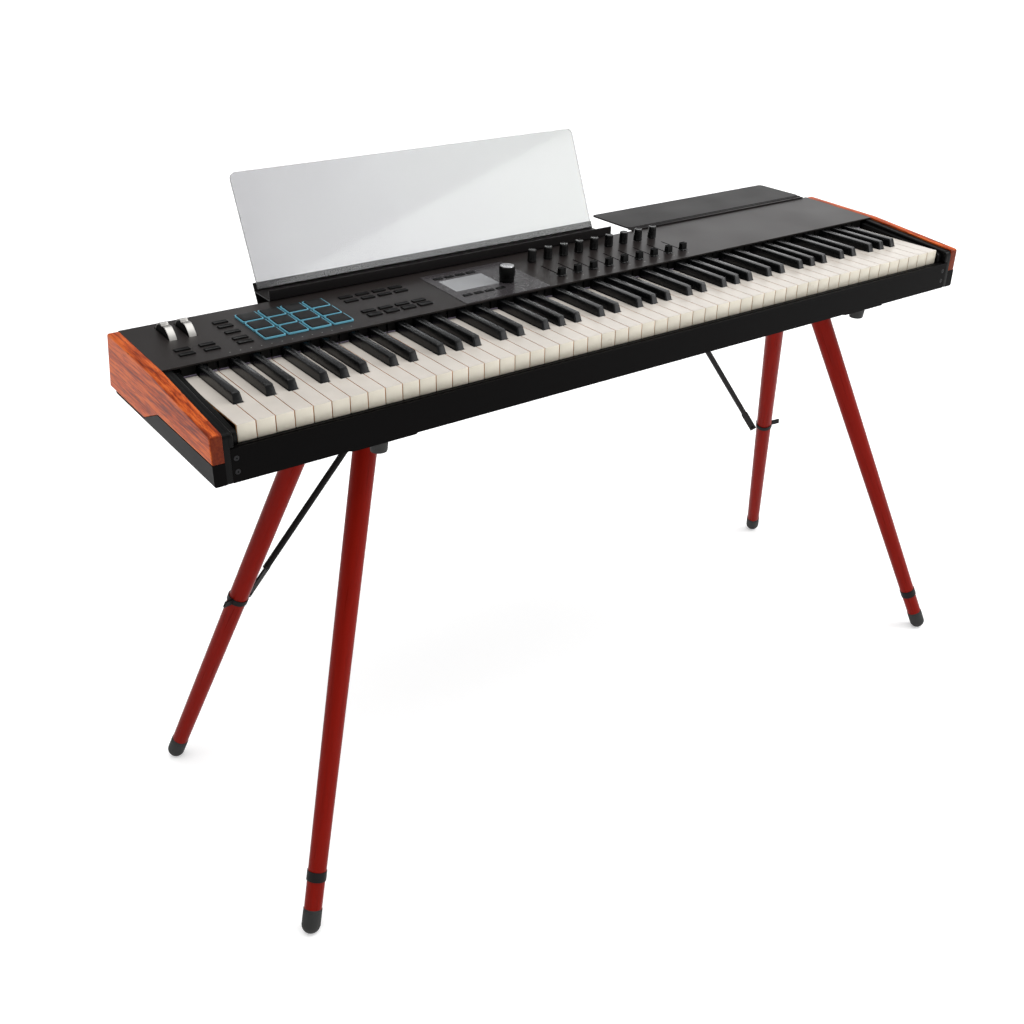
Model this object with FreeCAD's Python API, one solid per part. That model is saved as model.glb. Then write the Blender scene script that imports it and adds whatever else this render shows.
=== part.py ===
"""Weighted 88-key MIDI keyboard on four screw-in wooden legs, with a clear music rest
and a laptop shelf.  Every separate piece is written to parts/NODE.step, in millimetres.

Frame while modelling: X = 0 at the middle key gap line of the case, Y = 0 at the front
face of the white keys and growing to the rear, Z = 0 at the white key tops.  At the end
everything is moved so that Z = 0 is the floor and X = Y = 0 is the middle of the box.
"""
import FreeCAD, Part
import math
import os

Vec = FreeCAD.Vector
os.makedirs("parts", exist_ok=True)

# ------------------------------------------------------------------ driving dimensions
# keyboard
white_pitch = 23.5            # one white key and its gap
white_count = 52
key_gap = 1.0                 # between neighbouring white keys
key_front_height = 21.5       # visible height of a white key's front
key_body_height = 14.0        # depth of a key behind its front apron
key_apron = 3.5               # thickness of the front apron
black_front = 54.0            # distance from white front to black front
black_width = 12.3            # at the level of the white tops
black_top_width = 9.6
black_height = 12.0
black_front_slope = 5.0       # how far the top of a black key sits back
black_side_gap = 0.7
pivot_y = 222.0               # common rocking axis of the keys
pivot_z = -8.0
pivot_radius = 2.0
running_gap = 0.05            # radial clearance of every running fit
key_arm_width = 8.0           # width of a key where it rides on the rod
key_arm_start = 204.0
key_arm_end = 228.0
key_edge = 0.9
black_edge = 1.2
black_rear_cover = 8.0        # how far a black key's head reaches under the panel

# keybed
bed_height = 19.0             # top of the bed above the bottom of the case
bed_sheet = 2.5
bed_front = 12.0
bed_bar_y = (22.0, 34.0)      # the bar that stops the keys in front
bed_bar_top = -30.0
bed_wall_gap = 2.5            # from the ends of the keys to the rear wall of the bed
bed_wall_top = -4.0
bed_post = (30.0, 12.0)
bed_post_xs = (-520.0, -260.0, 0.0, 260.0, 520.0)
bed_post_ys = (40.0, 180.0)
lug_thickness = 3.0
lug_front = 6.0               # from the rod to a lug's front face
lug_top = 5.0                 # from the rod to a lug's top
lug_count = 8                 # between the two end lugs, one in every octave

# case
body_bottom = -62.0
tray_thickness = 3.5
wood_thickness = 14.7
inner_cheek_gap = 22.6        # from the last key's gap line to the wood
front_face = -13.0
rail_thickness = 11.5
rail_top = -20.8
panel_front_y = 157.2
panel_front_z = 16.2
panel_rear_y = 305.1
panel_rear_z = 20.7
panel_thickness = 2.0
rear_lean = 23.0              # how much further back the case is at its bottom
wood_front_z = -0.5
wood_front_bottom = -35.0
wood_step_front = 151.0       # the black tray side rises in front of this line
wood_step_rear = 206.0
wood_corner = 4.0
wood_edge = 1.6
rear_wall = 2.0
rear_wall_drop = 3.0          # top of the rear wall below the panel's rear edge
tray_rear_gap = 4.0           # from the tray to the outer face of the rear wall
tray_side_rear = (22.0, 28.0)  # the tray's sides end this far in front of it
tray_edge = 2.4
side_wall = 2.5
side_wall_drop = 4.0
rail_edge = 0.6
rail_groove = (4.0, 8.0)      # behind the rail's front face
rail_ridge = 0.9
screw_inset = 6.5             # from the rail's end
screw_heights = (12.5, 29.0)  # above the bottom of the case
screw_head = (3.2, 2.0)       # radius and height
screw_shank = 1.6
screw_socket = (1.3, 1.4)
screw_sink = 0.2
end_block_gap = 1.2           # from the last key to the block beside it
end_block_step = 8.6
end_block_front = -4.0
end_block_corners = (6.0, 7.0)
felt_rise = (1.0, 2.6)        # the felt, above the white key tops
comb_depth = 4.0
comb_tooth_gap = 0.9          # from a tooth to the side of the key below it

# panel controls, X from the middle, V from the panel's front edge along the panel
hole_gap = 0.35
button_size = (20.0, 8.0)
button_deep_size = (20.0, 11.0)
display_button_size = (14.5, 6.6)
button_rise = 1.6
button_travel = 0.8
column_pitch = 26.1
row_rear = 109.6
row_second = 93.1
row_middle = 70.8
row_third = 47.7
row_front = 32.4
pad_size = 26.0
pad_side_gap = 0.3            # between a pad and its frame
pad_frame_wall = 1.4
pad_frame_gap = 3.0           # between two frames
pad_rise = 3.4
pad_travel = 0.6
pad_first_x = -475.3
pad_first_v = 40.0
wheel_radius = 28.0
wheel_width = 10.0
wheel_depth = 14.0            # centre below the panel's face
wheel_rear_gap = 11.2         # from the wheels to the panel's rear edge
wheel_xs = (-586.0, -560.3)
wheel_edge = 1.0
wheel_hole_gap = 1.0
wheel_hole_end_gap = 1.5
wheel_notch_radius = 6.0
wheel_notch_deg = 100.0
wheel_notch_out = 3.2         # the notch's middle outside the rim
axle_radius = 2.5
bearing_wall = 3.0
bearing_half = 7.0
bearing_gap = 1.5             # from a wheel's rim to the bridge below it
knob_first_x = -17.8
knob_pitch = 29.9
knob_count = 9
knob_v = 103.8
knob_base_radius = 6.9
knob_top_radius = 6.2
knob_height = 18.4
knob_gap = 0.8                # from the panel to a knob or a fader cap
shaft_radius = 3.0
fader_v = 30.3                # where the caps rest
fader_travel = 45.0
fader_cap = (10.5, 9.0, 11.2)
fader_foot = (12.0, 10.5, 1.4)
fader_slot_width = 2.4
fader_lever = (0.7, 3.0)      # half sizes across and along the slot
fader_lever_end = -9.5
encoder_x = -102.0
encoder_v = 50.0
encoder_radius = 11.6
encoder_height = 22.0
encoder_gap = 1.4
display_x = (-202.5, -58.5)
display_v = (2.0, 126.0)
screen_x = (-188.2, -114.0)
screen_v = (49.5, 98.0)
board_depth = 12.0            # top of the circuit board below the panel's face
board_thickness = 1.6
board_x = (-606.0, 250.0)
board_v_gaps = (14.0, 6.0)    # from the panel's front and rear edges
board_wheel_gap = 3.0
contact_board = (-600.0, 600.0, 60.0, 110.0)
switch_height = 0.4
switch_half = 3.0
pot_radius = 5.2
encoder_body_radius = 7.0
pot_top = -3.2
shaft_end = -9.0
shaft_end_gap = 0.4
fader_body_half = 4.5
socket_z = -30.0              # middle of the sockets on the rear wall
socket_depth = 24.0
socket_lip = 2.0
jack_bore = 3.25              # takes a 6.35 mm plug
din_bore = 7.6
dc_bore = 3.0
jack_xs = (-560.0, -525.0, -490.0)
din_xs = (-440.0, -400.0)
usb_x = -360.0
dc_x = -330.0
power_x = -295.0
power_travel = 1.5
power_button_size = (14.0, 9.0)
power_hole_gap = 0.4
usb_shell = (12.0, 12.5)
usb_opening = (8.4, 8.8)
usb_opening_depth = 11.0

# music rest and shelf
rest_middle_x = -128.0
rest_width = 597.6
rest_depth = 47.0
rest_lip_height = 15.0
rest_sheet_width = 589.0
rest_sheet_length = 159.0
rest_sheet_thickness = 4.0
rest_lean_deg = 23.0
rest_flange_up = 13.5
rest_flange_down = 30.0
steel_thickness = 2.0
rest_lip_front = 3.0          # the lip stands this far in front of the panel's rear edge
rest_corner = 9.0
rest_sheet_gap = 0.05
mounting_gap = 0.3            # from the panel to the rest and the shelf above it
gusset_height = 42.0
gusset_clear = 0.4
gusset_thickness = 3.0
shelf_x = (217.0, 623.0)
shelf_rear_y = 409.5
shelf_top_z = 24.0
shelf_fold = 24.0

# legs
playing_height = 688.0        # from the floor to the white key tops
leg_top_radius = 16.0
leg_foot_radius = 11.7
foot_radius = 12.6
foot_length = 35.0
foot_flat = 0.6               # how much the rubber is flattened by the floor
front_leg_top = (409.0, 71.0)
front_leg_foot = (623.0, -97.0)
rear_leg_top = (429.0, 162.0)
rear_leg_foot = (637.0, 337.0)
plate_thickness = 2.5
plate_x = (384.0, 481.0)
plate_y = (-11.5, 214.0)
stud_radius = 5.0
stud_length = 38.0
front_collar_height = 13.0
front_collar_up = 80.0        # from the tip to the middle of the collar
rear_collar_height = 8.0
rear_collar_up = 328.0
brace_radius = 4.8
brace_top = (252.0, 233.0)
brace_hinge_drop = 8.0        # middle of the upper hinge below the case
brace_hinge = (7.0, 14.0)     # radius and width
brace_pad = (28.0, 3.0)       # side and thickness
brace_tab_length = 44.0
brace_tab_width = 12.0
brace_plate = 3.0             # thickness of the flattened end and of the clamp's ear
brace_bolt_inset = 6.0        # from the bolt to the end of the tab and of the ear
ear_width = 10.0
ear_length = 15.0
bolt_radius = 2.5
case_foot_xy = (434.0, 3.0)
case_foot_rear_y = 280.0
case_foot_radius = 12.5
case_foot_height = 15.5
case_foot_taper = 3.0
case_foot_edge = 2.5
base_screw_xs = (-560, -300, 0, 300, 560)
base_screw_ys = (25, 255)
base_screw_head = (3.5, 1.8)

# ------------------------------------------------------------------ worked out
keys_width = white_pitch * white_count
half_keys = keys_width / 2.0
wood_inner = half_keys + inner_cheek_gap
wood_outer = wood_inner + wood_thickness
tray_top = body_bottom + tray_thickness
floor_z = -playing_height
pad_frame_size = pad_size + 2 * (pad_side_gap + pad_frame_wall)
pad_pitch = pad_frame_size + pad_frame_gap
panel_run = panel_rear_y - panel_front_y
panel_slope = math.degrees(math.atan2(panel_rear_z - panel_front_z, panel_run))
panel_length = panel_run / math.cos(math.radians(panel_slope))
wheel_v = panel_length - wheel_rear_gap - wheel_radius
black_slot = black_width + 2 * black_side_gap
rail_end = wood_inner - 7.6
rear_slope = math.degrees(math.atan2(rear_lean, panel_rear_z - tray_top))
LETTERS = ("c", "d", "e", "f", "g", "a", "b")
SHARPS = ("c_sharp", "d_sharp", "f_sharp", "g_sharp", "a_sharp")

nodes = {}


# ------------------------------------------------------------------ helpers
def box(x0, x1, y0, y1, z0, z1):
    return Part.makeBox(x1 - x0, y1 - y0, z1 - z0, Vec(x0, y0, z0))


def prism_x(points, x0, x1):
    """A flat outline of (y, z) points carried along X."""
    wire = Part.makePolygon([Vec(x0, y, z) for y, z in points + points[:1]])
    return Part.Face(wire).extrude(Vec(x1 - x0, 0, 0))


def prism_z(points, z0, z1):
    """A flat outline of (x, y) points carried along Z."""
    wire = Part.makePolygon([Vec(x, y, z0) for x, y in points + points[:1]])
    return Part.Face(wire).extrude(Vec(0, 0, z1 - z0))


def cylinder(radius, start, axis, length):
    return Part.makeCylinder(radius, length, Vec(*start), Vec(*axis))


def fuse(shapes):
    return shapes[0].multiFuse(shapes[1:]).removeSplitter()


def cut(shape, tools):
    return shape.cut(Part.makeCompound(tools))


def on_panel(shape):
    """Lay a shape modelled as (x, v, w) on the sloping panel."""
    placed = shape.copy()
    placed.rotate(Vec(0, 0, 0), Vec(1, 0, 0), panel_slope)
    placed.translate(Vec(0, panel_front_y, panel_front_z))
    return placed


def mirrored(shape):
    return shape.mirror(Vec(0, 0, 0), Vec(1, 0, 0))


def edges_where(shape, test):
    return [edge for edge in shape.Edges if test(edge)]


def soften(shape, radius, test):
    """Round the edges that pass the test."""
    return shape.makeFillet(radius, edges_where(shape, test))


def along(edge, axis):
    """True for a straight edge that runs along one axis."""
    a = edge.Vertexes[0].Point
    b = edge.Vertexes[-1].Point
    delta = b.sub(a)
    if delta.Length < 1e-6:
        return False
    return abs(abs(delta.dot(axis)) / delta.Length - 1) < 1e-6


# ------------------------------------------------------------------ keys
def octave_layout():
    """Tail span of each white letter and slot middle of each sharp, from C's left edge."""
    first_tail = (3 * white_pitch - 2 * black_slot) / 3
    last_tail = (4 * white_pitch - 3 * black_slot) / 4
    tails = {}
    sharps = {}
    x = 0.0
    for index, letter in enumerate(LETTERS):
        width = first_tail if index < 3 else last_tail
        tails[letter] = (x, x + width)
        x += width
        if letter not in ("e", "b"):
            sharps[letter + "_sharp"] = x + black_slot / 2
            x += black_slot
    return tails, sharps


def rod_hole(x0, x1):
    return cylinder(pivot_radius + running_gap, (x0, pivot_y, pivot_z), (1, 0, 0), x1 - x0)


def key_arm(middle_x):
    half = key_arm_width / 2
    return box(middle_x - half, middle_x + half, key_arm_start - 1, key_arm_end,
               -key_body_height, -2.0)


def white_key(left, tail):
    right = left + white_pitch - key_gap / 2
    left = left + key_gap / 2
    tail_left = max(tail[0], left)
    tail_right = min(tail[1], right)
    outline = [(left, 0), (right, 0), (right, black_front - black_side_gap),
               (tail_right, black_front - black_side_gap), (tail_right, key_arm_start),
               (tail_left, key_arm_start), (tail_left, black_front - black_side_gap),
               (left, black_front - black_side_gap)]
    tidy = [p for i, p in enumerate(outline) if p != outline[i - 1]]
    top = prism_z(tidy, -key_body_height, 0)
    apron = box(left, right, 0, key_apron, -key_front_height, -key_body_height)
    middle = (tail_left + tail_right) / 2
    key = fuse([top, apron, key_arm(middle)])
    key = key.cut(rod_hole(middle - key_arm_width, middle + key_arm_width))

    def head_edge(edge):
        box_ = edge.BoundBox
        return box_.ZMin > -0.01 and box_.YMax < black_front and box_.YMin < 0.01
    return soften(key, key_edge, head_edge)


def black_key(middle):
    half = black_width / 2
    top_half = black_top_width / 2
    rear = panel_front_y + black_rear_cover
    low = [Vec(middle - half, black_front, 0), Vec(middle + half, black_front, 0),
           Vec(middle + half, rear, 0), Vec(middle - half, rear, 0)]
    front = black_front + black_front_slope
    high = [Vec(middle - top_half, front, black_height),
            Vec(middle + top_half, front, black_height),
            Vec(middle + top_half, rear, black_height),
            Vec(middle - top_half, rear, black_height)]
    head = Part.makeLoft([Part.makePolygon(low + low[:1]), Part.makePolygon(high + high[:1])],
                         True, True)
    body = box(middle - half, middle + half, black_front, key_arm_start, -key_body_height, 0)
    key = fuse([head, body, key_arm(middle)])
    key = key.cut(rod_hole(middle - key_arm_width, middle + key_arm_width))

    def crown_edge(edge):
        return edge.BoundBox.ZMin > black_height - 0.01 and edge.BoundBox.YMin < rear - 1
    return soften(key, black_edge, crown_edge)


def build_keys():
    tails, sharps = octave_layout()
    groups = {name: [] for name in LETTERS + SHARPS}
    sharp_middles = []
    white_tails = []
    for index in range(white_count):
        letter_index = (index + 5) % 7          # the lowest white key is an A
        letter = LETTERS[letter_index]
        left = -half_keys + index * white_pitch
        octave_left = left - letter_index * white_pitch
        tail_left = octave_left + tails[letter][0]
        tail_right = octave_left + tails[letter][1]
        if index == 0:
            tail_left = left
        if index == white_count - 1:
            tail_right = left + white_pitch
        groups[letter].append(white_key(left, (tail_left, tail_right)))
        white_tails.append((max(tail_left, left + key_gap / 2),
                            min(tail_right, left + white_pitch - key_gap / 2)))
        sharp = letter + "_sharp"
        if sharp in sharps and index < white_count - 1:
            middle = octave_left + sharps[sharp]
            groups[sharp].append(black_key(middle))
            sharp_middles.append(middle)
    for name, shapes in groups.items():
        nodes["keys_" + name] = Part.makeCompound(shapes)
    return white_tails, sharp_middles


# ------------------------------------------------------------------ keybed
def build_keybed():
    """A steel bed of welded pieces that meet face to face, with lugs for the pivot rod."""
    bed_top = body_bottom + bed_height
    bed_bottom = bed_top - bed_sheet
    wall_front = key_arm_end + bed_wall_gap
    wall_rear = wall_front + bed_sheet
    lug_half = lug_thickness / 2
    plate = box(-half_keys, half_keys, bed_front, wall_rear, bed_bottom, bed_top)
    wall = box(-half_keys, half_keys, wall_front, wall_rear, bed_top, bed_wall_top)
    front_bar = box(-half_keys, half_keys, *bed_bar_y, bed_top, bed_bar_top)
    lug_xs = [-half_keys + lug_half, half_keys - lug_half]
    lug_xs += [-half_keys + (2 + 7 * k) * white_pitch for k in range(lug_count)]
    hole = cylinder(pivot_radius, (-half_keys - 1, pivot_y, pivot_z), (1, 0, 0), keys_width + 2)
    lugs = [box(x - lug_half, x + lug_half, pivot_y - lug_front, wall_front, bed_top,
                pivot_z + lug_top).cut(hole) for x in lug_xs]
    post_half = bed_post[0] / 2
    posts = [box(x - post_half, x + post_half, y, y + bed_post[1], tray_top, bed_bottom)
             for x in bed_post_xs for y in bed_post_ys]
    nodes["keybed_frame"] = Part.makeCompound([plate, wall, front_bar] + lugs + posts)
    nodes["key_pivot_rod"] = cylinder(pivot_radius, (-half_keys, pivot_y, pivot_z), (1, 0, 0),
                                      keys_width)


# ------------------------------------------------------------------ case
def cheek_top(y):
    """Height of the cheek's top edge: along the panel, then down to the front."""
    if y >= panel_front_y:
        return panel_front_z + (y - panel_front_y) * math.tan(math.radians(panel_slope))
    share = (panel_front_y - y) / (panel_front_y - front_face)
    return panel_front_z + (wood_front_z - panel_front_z) * share


def rear_y(z):
    """The rear wall leans: Y of its outer face at a height."""
    return panel_rear_y + (panel_rear_z - z) * math.tan(math.radians(rear_slope))


def build_cheeks():
    outline = [(front_face, wood_front_bottom), (front_face, wood_front_z),
               (panel_front_y, cheek_top(panel_front_y)), (panel_rear_y, panel_rear_z),
               (rear_y(tray_top), tray_top), (wood_step_rear, tray_top),
               (wood_step_front, wood_front_bottom)]
    wood = prism_x(outline, wood_inner, wood_outer)
    corners = edges_where(wood, lambda e: along(e, Vec(1, 0, 0))
                          and (abs(e.BoundBox.YMin - front_face) < 0.1
                               and e.BoundBox.ZMin > wood_front_bottom + 1
                               or abs(e.BoundBox.YMin - panel_rear_y) < 0.1))
    wood = wood.makeFillet(wood_corner, corners)
    outer = edges_where(wood, lambda e: e.BoundBox.XMin > wood_outer - 0.01
                        and e.BoundBox.ZMax > wood_front_bottom + 1)
    wood = wood.makeFillet(wood_edge, outer)
    nodes["wood_cheek_right"] = wood
    nodes["wood_cheek_left"] = mirrored(wood)


def build_tray():
    inner = box(-wood_inner, wood_inner, front_face + rail_thickness,
                rear_y(tray_top) - tray_rear_gap,
                body_bottom, tray_top)
    parts = [inner]
    side_profile = [(front_face, body_bottom), (front_face, wood_front_bottom),
                    (wood_step_front, wood_front_bottom), (wood_step_rear, tray_top),
                    (rear_y(tray_top) - tray_side_rear[0], tray_top),
                    (rear_y(tray_top) - tray_side_rear[1], body_bottom)]
    side = prism_x(side_profile, wood_inner, wood_outer)
    lower = edges_where(side, lambda e: e.BoundBox.XMin > wood_outer - 0.01
                        and e.BoundBox.ZMax < body_bottom + 0.01)
    side = side.makeFillet(tray_edge, lower)
    wall_front = panel_front_y + 1
    wall_top = panel_front_z - side_wall_drop
    wall_low = tray_top - 0.5
    wall = prism_x([(wall_front, wall_low), (wall_front, wall_top),
                    (rear_y(wall_top) - tray_rear_gap, wall_top),
                    (rear_y(tray_top) - tray_rear_gap, wall_low)],
                   wood_inner - side_wall, wood_inner)
    for sign in (1, -1):
        for piece in (side, wall):
            parts.append(piece if sign > 0 else mirrored(piece))
    nodes["base_tray"] = fuse(parts)


def build_rail():
    rear = front_face + rail_thickness
    groove = front_face + rail_groove[0]
    groove_end = front_face + rail_groove[1]
    slant = rail_groove[0] / 10
    lip = [(front_face, body_bottom), (front_face, rail_top - rail_edge),
           (front_face + rail_edge, rail_top), (groove, rail_top),
           (groove + slant, rail_top + rail_ridge), (groove_end - slant, rail_top + rail_ridge),
           (groove_end, rail_top), (rear, rail_top), (rear, body_bottom)]
    rail = prism_x(lip, -rail_end, rail_end)
    head_radius, head_height = screw_head
    head_front = front_face + screw_sink
    cutters = []
    screws = []
    for x in (-rail_end + screw_inset, rail_end - screw_inset):
        for rise in screw_heights:
            z = body_bottom + rise
            cutters.append(cylinder(head_radius + 0.4, (x, front_face - 1, z), (0, 1, 0),
                                    1 + screw_sink + head_height))
            cutters.append(cylinder(screw_shank, (x, front_face - 1, z), (0, 1, 0),
                                    rail_thickness + 2))
            head = cylinder(head_radius, (x, head_front, z), (0, 1, 0), head_height)
            shank = cylinder(screw_shank, (x, head_front + head_height - 0.2, z), (0, 1, 0),
                             rail_thickness - head_height - screw_sink)
            socket = cylinder(screw_socket[0], (x, front_face, z), (0, 1, 0), screw_socket[1])
            screws.append(head.fuse(shank).cut(socket).removeSplitter())
    nodes["front_rail"] = cut(rail, cutters)
    return screws


def build_end_blocks():
    inner_x = half_keys + end_block_gap
    step_x = inner_x + end_block_step
    outer_profile = [(front_face, body_bottom), (front_face, wood_front_z - 2.0),
                     (panel_front_y, cheek_top(panel_front_y) - 2.2), (panel_front_y, tray_top),
                     (front_face + rail_thickness, tray_top),
                     (front_face + rail_thickness, body_bottom)]
    inner_profile = [(end_block_front, tray_top), (end_block_front, wood_front_z - 5.0),
                     (panel_front_y, cheek_top(panel_front_y) - 7.2), (panel_front_y, tray_top)]
    outer = prism_x(outer_profile, step_x, wood_inner)
    trim = box(inner_x - 1, rail_end, front_face - 1, front_face + rail_thickness,
               body_bottom - 1, rail_top + 1.2)
    front_top = edges_where(outer, lambda e: along(e, Vec(1, 0, 0))
                            and abs(e.BoundBox.YMin - front_face) < 0.1
                            and e.BoundBox.ZMin > -10)
    outer = outer.makeFillet(end_block_corners[0], front_top)
    inner = prism_x(inner_profile, inner_x, step_x)
    inner_front = edges_where(inner, lambda e: along(e, Vec(1, 0, 0))
                              and abs(e.BoundBox.YMin - end_block_front) < 0.1
                              and e.BoundBox.ZMin > -10)
    inner = inner.makeFillet(end_block_corners[1], inner_front)
    block = fuse([outer, inner]).cut(trim)
    nodes["end_blocks"] = Part.makeCompound([block, mirrored(block)])


def build_rear_panel():
    high = panel_rear_z - rear_wall_drop
    profile = [(rear_y(high), high), (rear_y(tray_top), tray_top),
               (rear_y(tray_top) - rear_wall, tray_top), (rear_y(high) - rear_wall, high)]
    wall = prism_x(profile, -wood_inner, wood_inner)
    slope = math.radians(rear_slope)
    normal = Vec(0, math.cos(slope), math.sin(slope))

    def place(x):
        return Vec(x, rear_y(socket_z), socket_z)

    def tilted(shape, x):
        turned = shape.copy()
        turned.Placement = FreeCAD.Placement(place(x), tilt).multiply(turned.Placement)
        return turned

    def socket(x, outer_radius, bore_radius):
        body = cylinder(outer_radius, (0, 0, -socket_depth), (0, 0, 1), socket_depth + socket_lip)
        bore = cylinder(bore_radius, (0, 0, 3 - socket_depth), (0, 0, 1), socket_depth + 10)
        return tilted(body.cut(bore), x)

    tilt = FreeCAD.Rotation(Vec(0, 0, 1), normal)
    round_sockets = [(x, jack_bore + 2.4, jack_bore) for x in jack_xs]
    round_sockets += [(x, din_bore + 1.9, din_bore) for x in din_xs]
    round_sockets.append((dc_x, dc_bore + 2.5, dc_bore))
    sockets = [socket(*values) for values in round_sockets]
    cutters = [tilted(cylinder(outer, (0, 0, -10), (0, 0, 1), 20), x)
               for x, outer, _ in round_sockets]
    usb = slab(0, 0, usb_shell, 0, -socket_depth, 0.5)
    usb = usb.cut(slab(0, 0, usb_opening, 0, -usb_opening_depth, 1))
    sockets.append(tilted(usb, usb_x))
    cutters.append(tilted(slab(0, 0, usb_shell, 0, -10, 10), usb_x))
    board = box(-15, power_x - jack_xs[0] + 15, -11, 11, -socket_depth - board_thickness,
                -socket_depth)
    sockets.append(tilted(board, jack_xs[0]))
    stem_end = -13.0
    switch = box(-5, 5, -4, 4, -socket_depth, stem_end - power_travel - 0.1)
    sockets.append(tilted(switch, power_x))
    button = soften(slab(0, 0, power_button_size, 0, -7, socket_lip), 1.2,
                    lambda e: e.BoundBox.ZMin > socket_lip - 0.1)
    button = fuse([button, box(-2.5, 2.5, -2, 2, stem_end, -6)])
    nodes["power_button"] = tilted(button, power_x)
    cutters.append(tilted(slab(0, 0, power_button_size, power_hole_gap, -10, 10), power_x))
    nodes["rear_panel"] = cut(wall, cutters)
    nodes["rear_sockets"] = Part.makeCompound(sockets)


# ------------------------------------------------------------------ panel
def button_places():
    """Middle (x, v) and size of every button on the panel."""
    places = []
    for v in (row_rear, row_second, row_middle, row_third, row_front):
        places.append((-513.4, v, button_size))
    for x in (-589.3, -557.2):
        for v in (row_third + 0.6, row_front - 0.6):
            places.append((x, v, button_size))
    for k in range(4):
        x = -331.0 + k * column_pitch
        places.append((x, row_rear, button_size))
        places.append((x, row_second, button_size))
        places.append((x + 1.0, row_third, button_size))
        places.append((x + 2.0, row_front, button_deep_size))
    return places


def display_button_places():
    places = []
    for k in range(4):
        x = -182.4 + k * 18.7
        places.append((x, row_rear - 1.8, display_button_size))
        places.append((x, row_front - 1.8, display_button_size))
    return places


def pad_places():
    return [(pad_first_x + i * pad_pitch, pad_first_v + j * pad_pitch)
            for j in range(3) for i in range(4)]


def knob_places():
    return [(knob_first_x + i * knob_pitch, knob_v) for i in range(knob_count)]


def slab(x, v, size, grow, w0, w1):
    """A block of size (x, v) about a middle, a little larger all round by grow."""
    half_x = size[0] / 2 + grow
    half_v = size[1] / 2 + grow
    return box(x - half_x, x + half_x, v - half_v, v + half_v, w0, w1)


def push_button(x, v, size):
    cap = slab(x, v, size, 0, -3.0, button_rise)
    cap = soften(cap, 0.7, lambda e: e.BoundBox.ZMin > button_rise - 0.01)
    flange = slab(x, v, size, 0.8, -4.2, -panel_thickness - 1.0)
    stem = box(x - 2, x + 2, v - 2, v + 2, button_stem_end, -4.0)
    return fuse([cap, flange, stem])


button_stem_end = -board_depth + switch_height + button_travel + 0.1


def build_panel():
    sheet = box(-wood_inner, wood_inner, 0, panel_length, -panel_thickness, 0)
    buttons = button_places()
    display_buttons = display_button_places()
    deep = (-panel_thickness - 1, 3.0)
    cutters = [slab(x, v, size, hole_gap, *deep) for x, v, size in buttons + display_buttons]
    cutters += [slab(x, v, (pad_frame_size, pad_frame_size), 0.05, *deep) for x, v in pad_places()]
    wheel_half = (math.sqrt(wheel_radius ** 2 - (wheel_depth - panel_thickness) ** 2)
                  + wheel_hole_end_gap)
    cutters += [slab(x, wheel_v, (wheel_width + 2 * wheel_hole_gap, 2 * wheel_half), 0, *deep)
                for x in wheel_xs]
    cutters += [cylinder(shaft_radius + 0.6, (x, v, deep[0]), (0, 0, 1), 5)
                for x, v in knob_places()]
    cutters.append(cylinder(shaft_radius + 0.6, (encoder_x, encoder_v, deep[0]), (0, 0, 1), 5))
    slot_rear = fader_v + fader_travel + 5.0
    slots = [box(x - fader_slot_width / 2, x + fader_slot_width / 2, fader_v - 4.5, slot_rear,
                 *deep) for x, _ in knob_places()]
    screen_hole = box(screen_x[0], screen_x[1], screen_v[0], screen_v[1], *deep)
    top = cut(sheet, cutters + slots + [screen_hole])
    nodes["top_panel"] = on_panel(top)

    cover = box(display_x[0], display_x[1], display_v[0], display_v[1], 0, 0.6)
    cover_cuts = [slab(x, v, size, hole_gap, *deep) for x, v, size in display_buttons]
    cover_cuts.append(screen_hole)
    cover_cuts.append(cylinder(shaft_radius + 0.6, (encoder_x, encoder_v, -1), (0, 0, 1), 4))
    nodes["display_plate"] = on_panel(cut(cover, cover_cuts))
    nodes["screen"] = on_panel(box(screen_x[0], screen_x[1], screen_v[0], screen_v[1],
                                   -4.0, 0.5))

    nodes["panel_buttons"] = on_panel(Part.makeCompound(
        [push_button(x, v, size) for x, v, size in buttons]))
    nodes["display_buttons"] = on_panel(Part.makeCompound(
        [push_button(x, v, size) for x, v, size in display_buttons]))

    pads = []
    frames = []
    for x, v in pad_places():
        pad = slab(x, v, (pad_size, pad_size), 0, -5.0, pad_rise)
        pad = soften(pad, 0.8, lambda e: e.BoundBox.ZMin > pad_rise - 0.01)
        pads.append(pad)
        outer = slab(x, v, (pad_frame_size, pad_frame_size), 0, -4.5, pad_rise - 1.2)
        inner = slab(x, v, (pad_size, pad_size), pad_side_gap, -6, pad_rise)
        frames.append(outer.cut(inner))
    nodes["pads"] = on_panel(Part.makeCompound(pads))
    nodes["pad_frames"] = on_panel(Part.makeCompound(frames))


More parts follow.
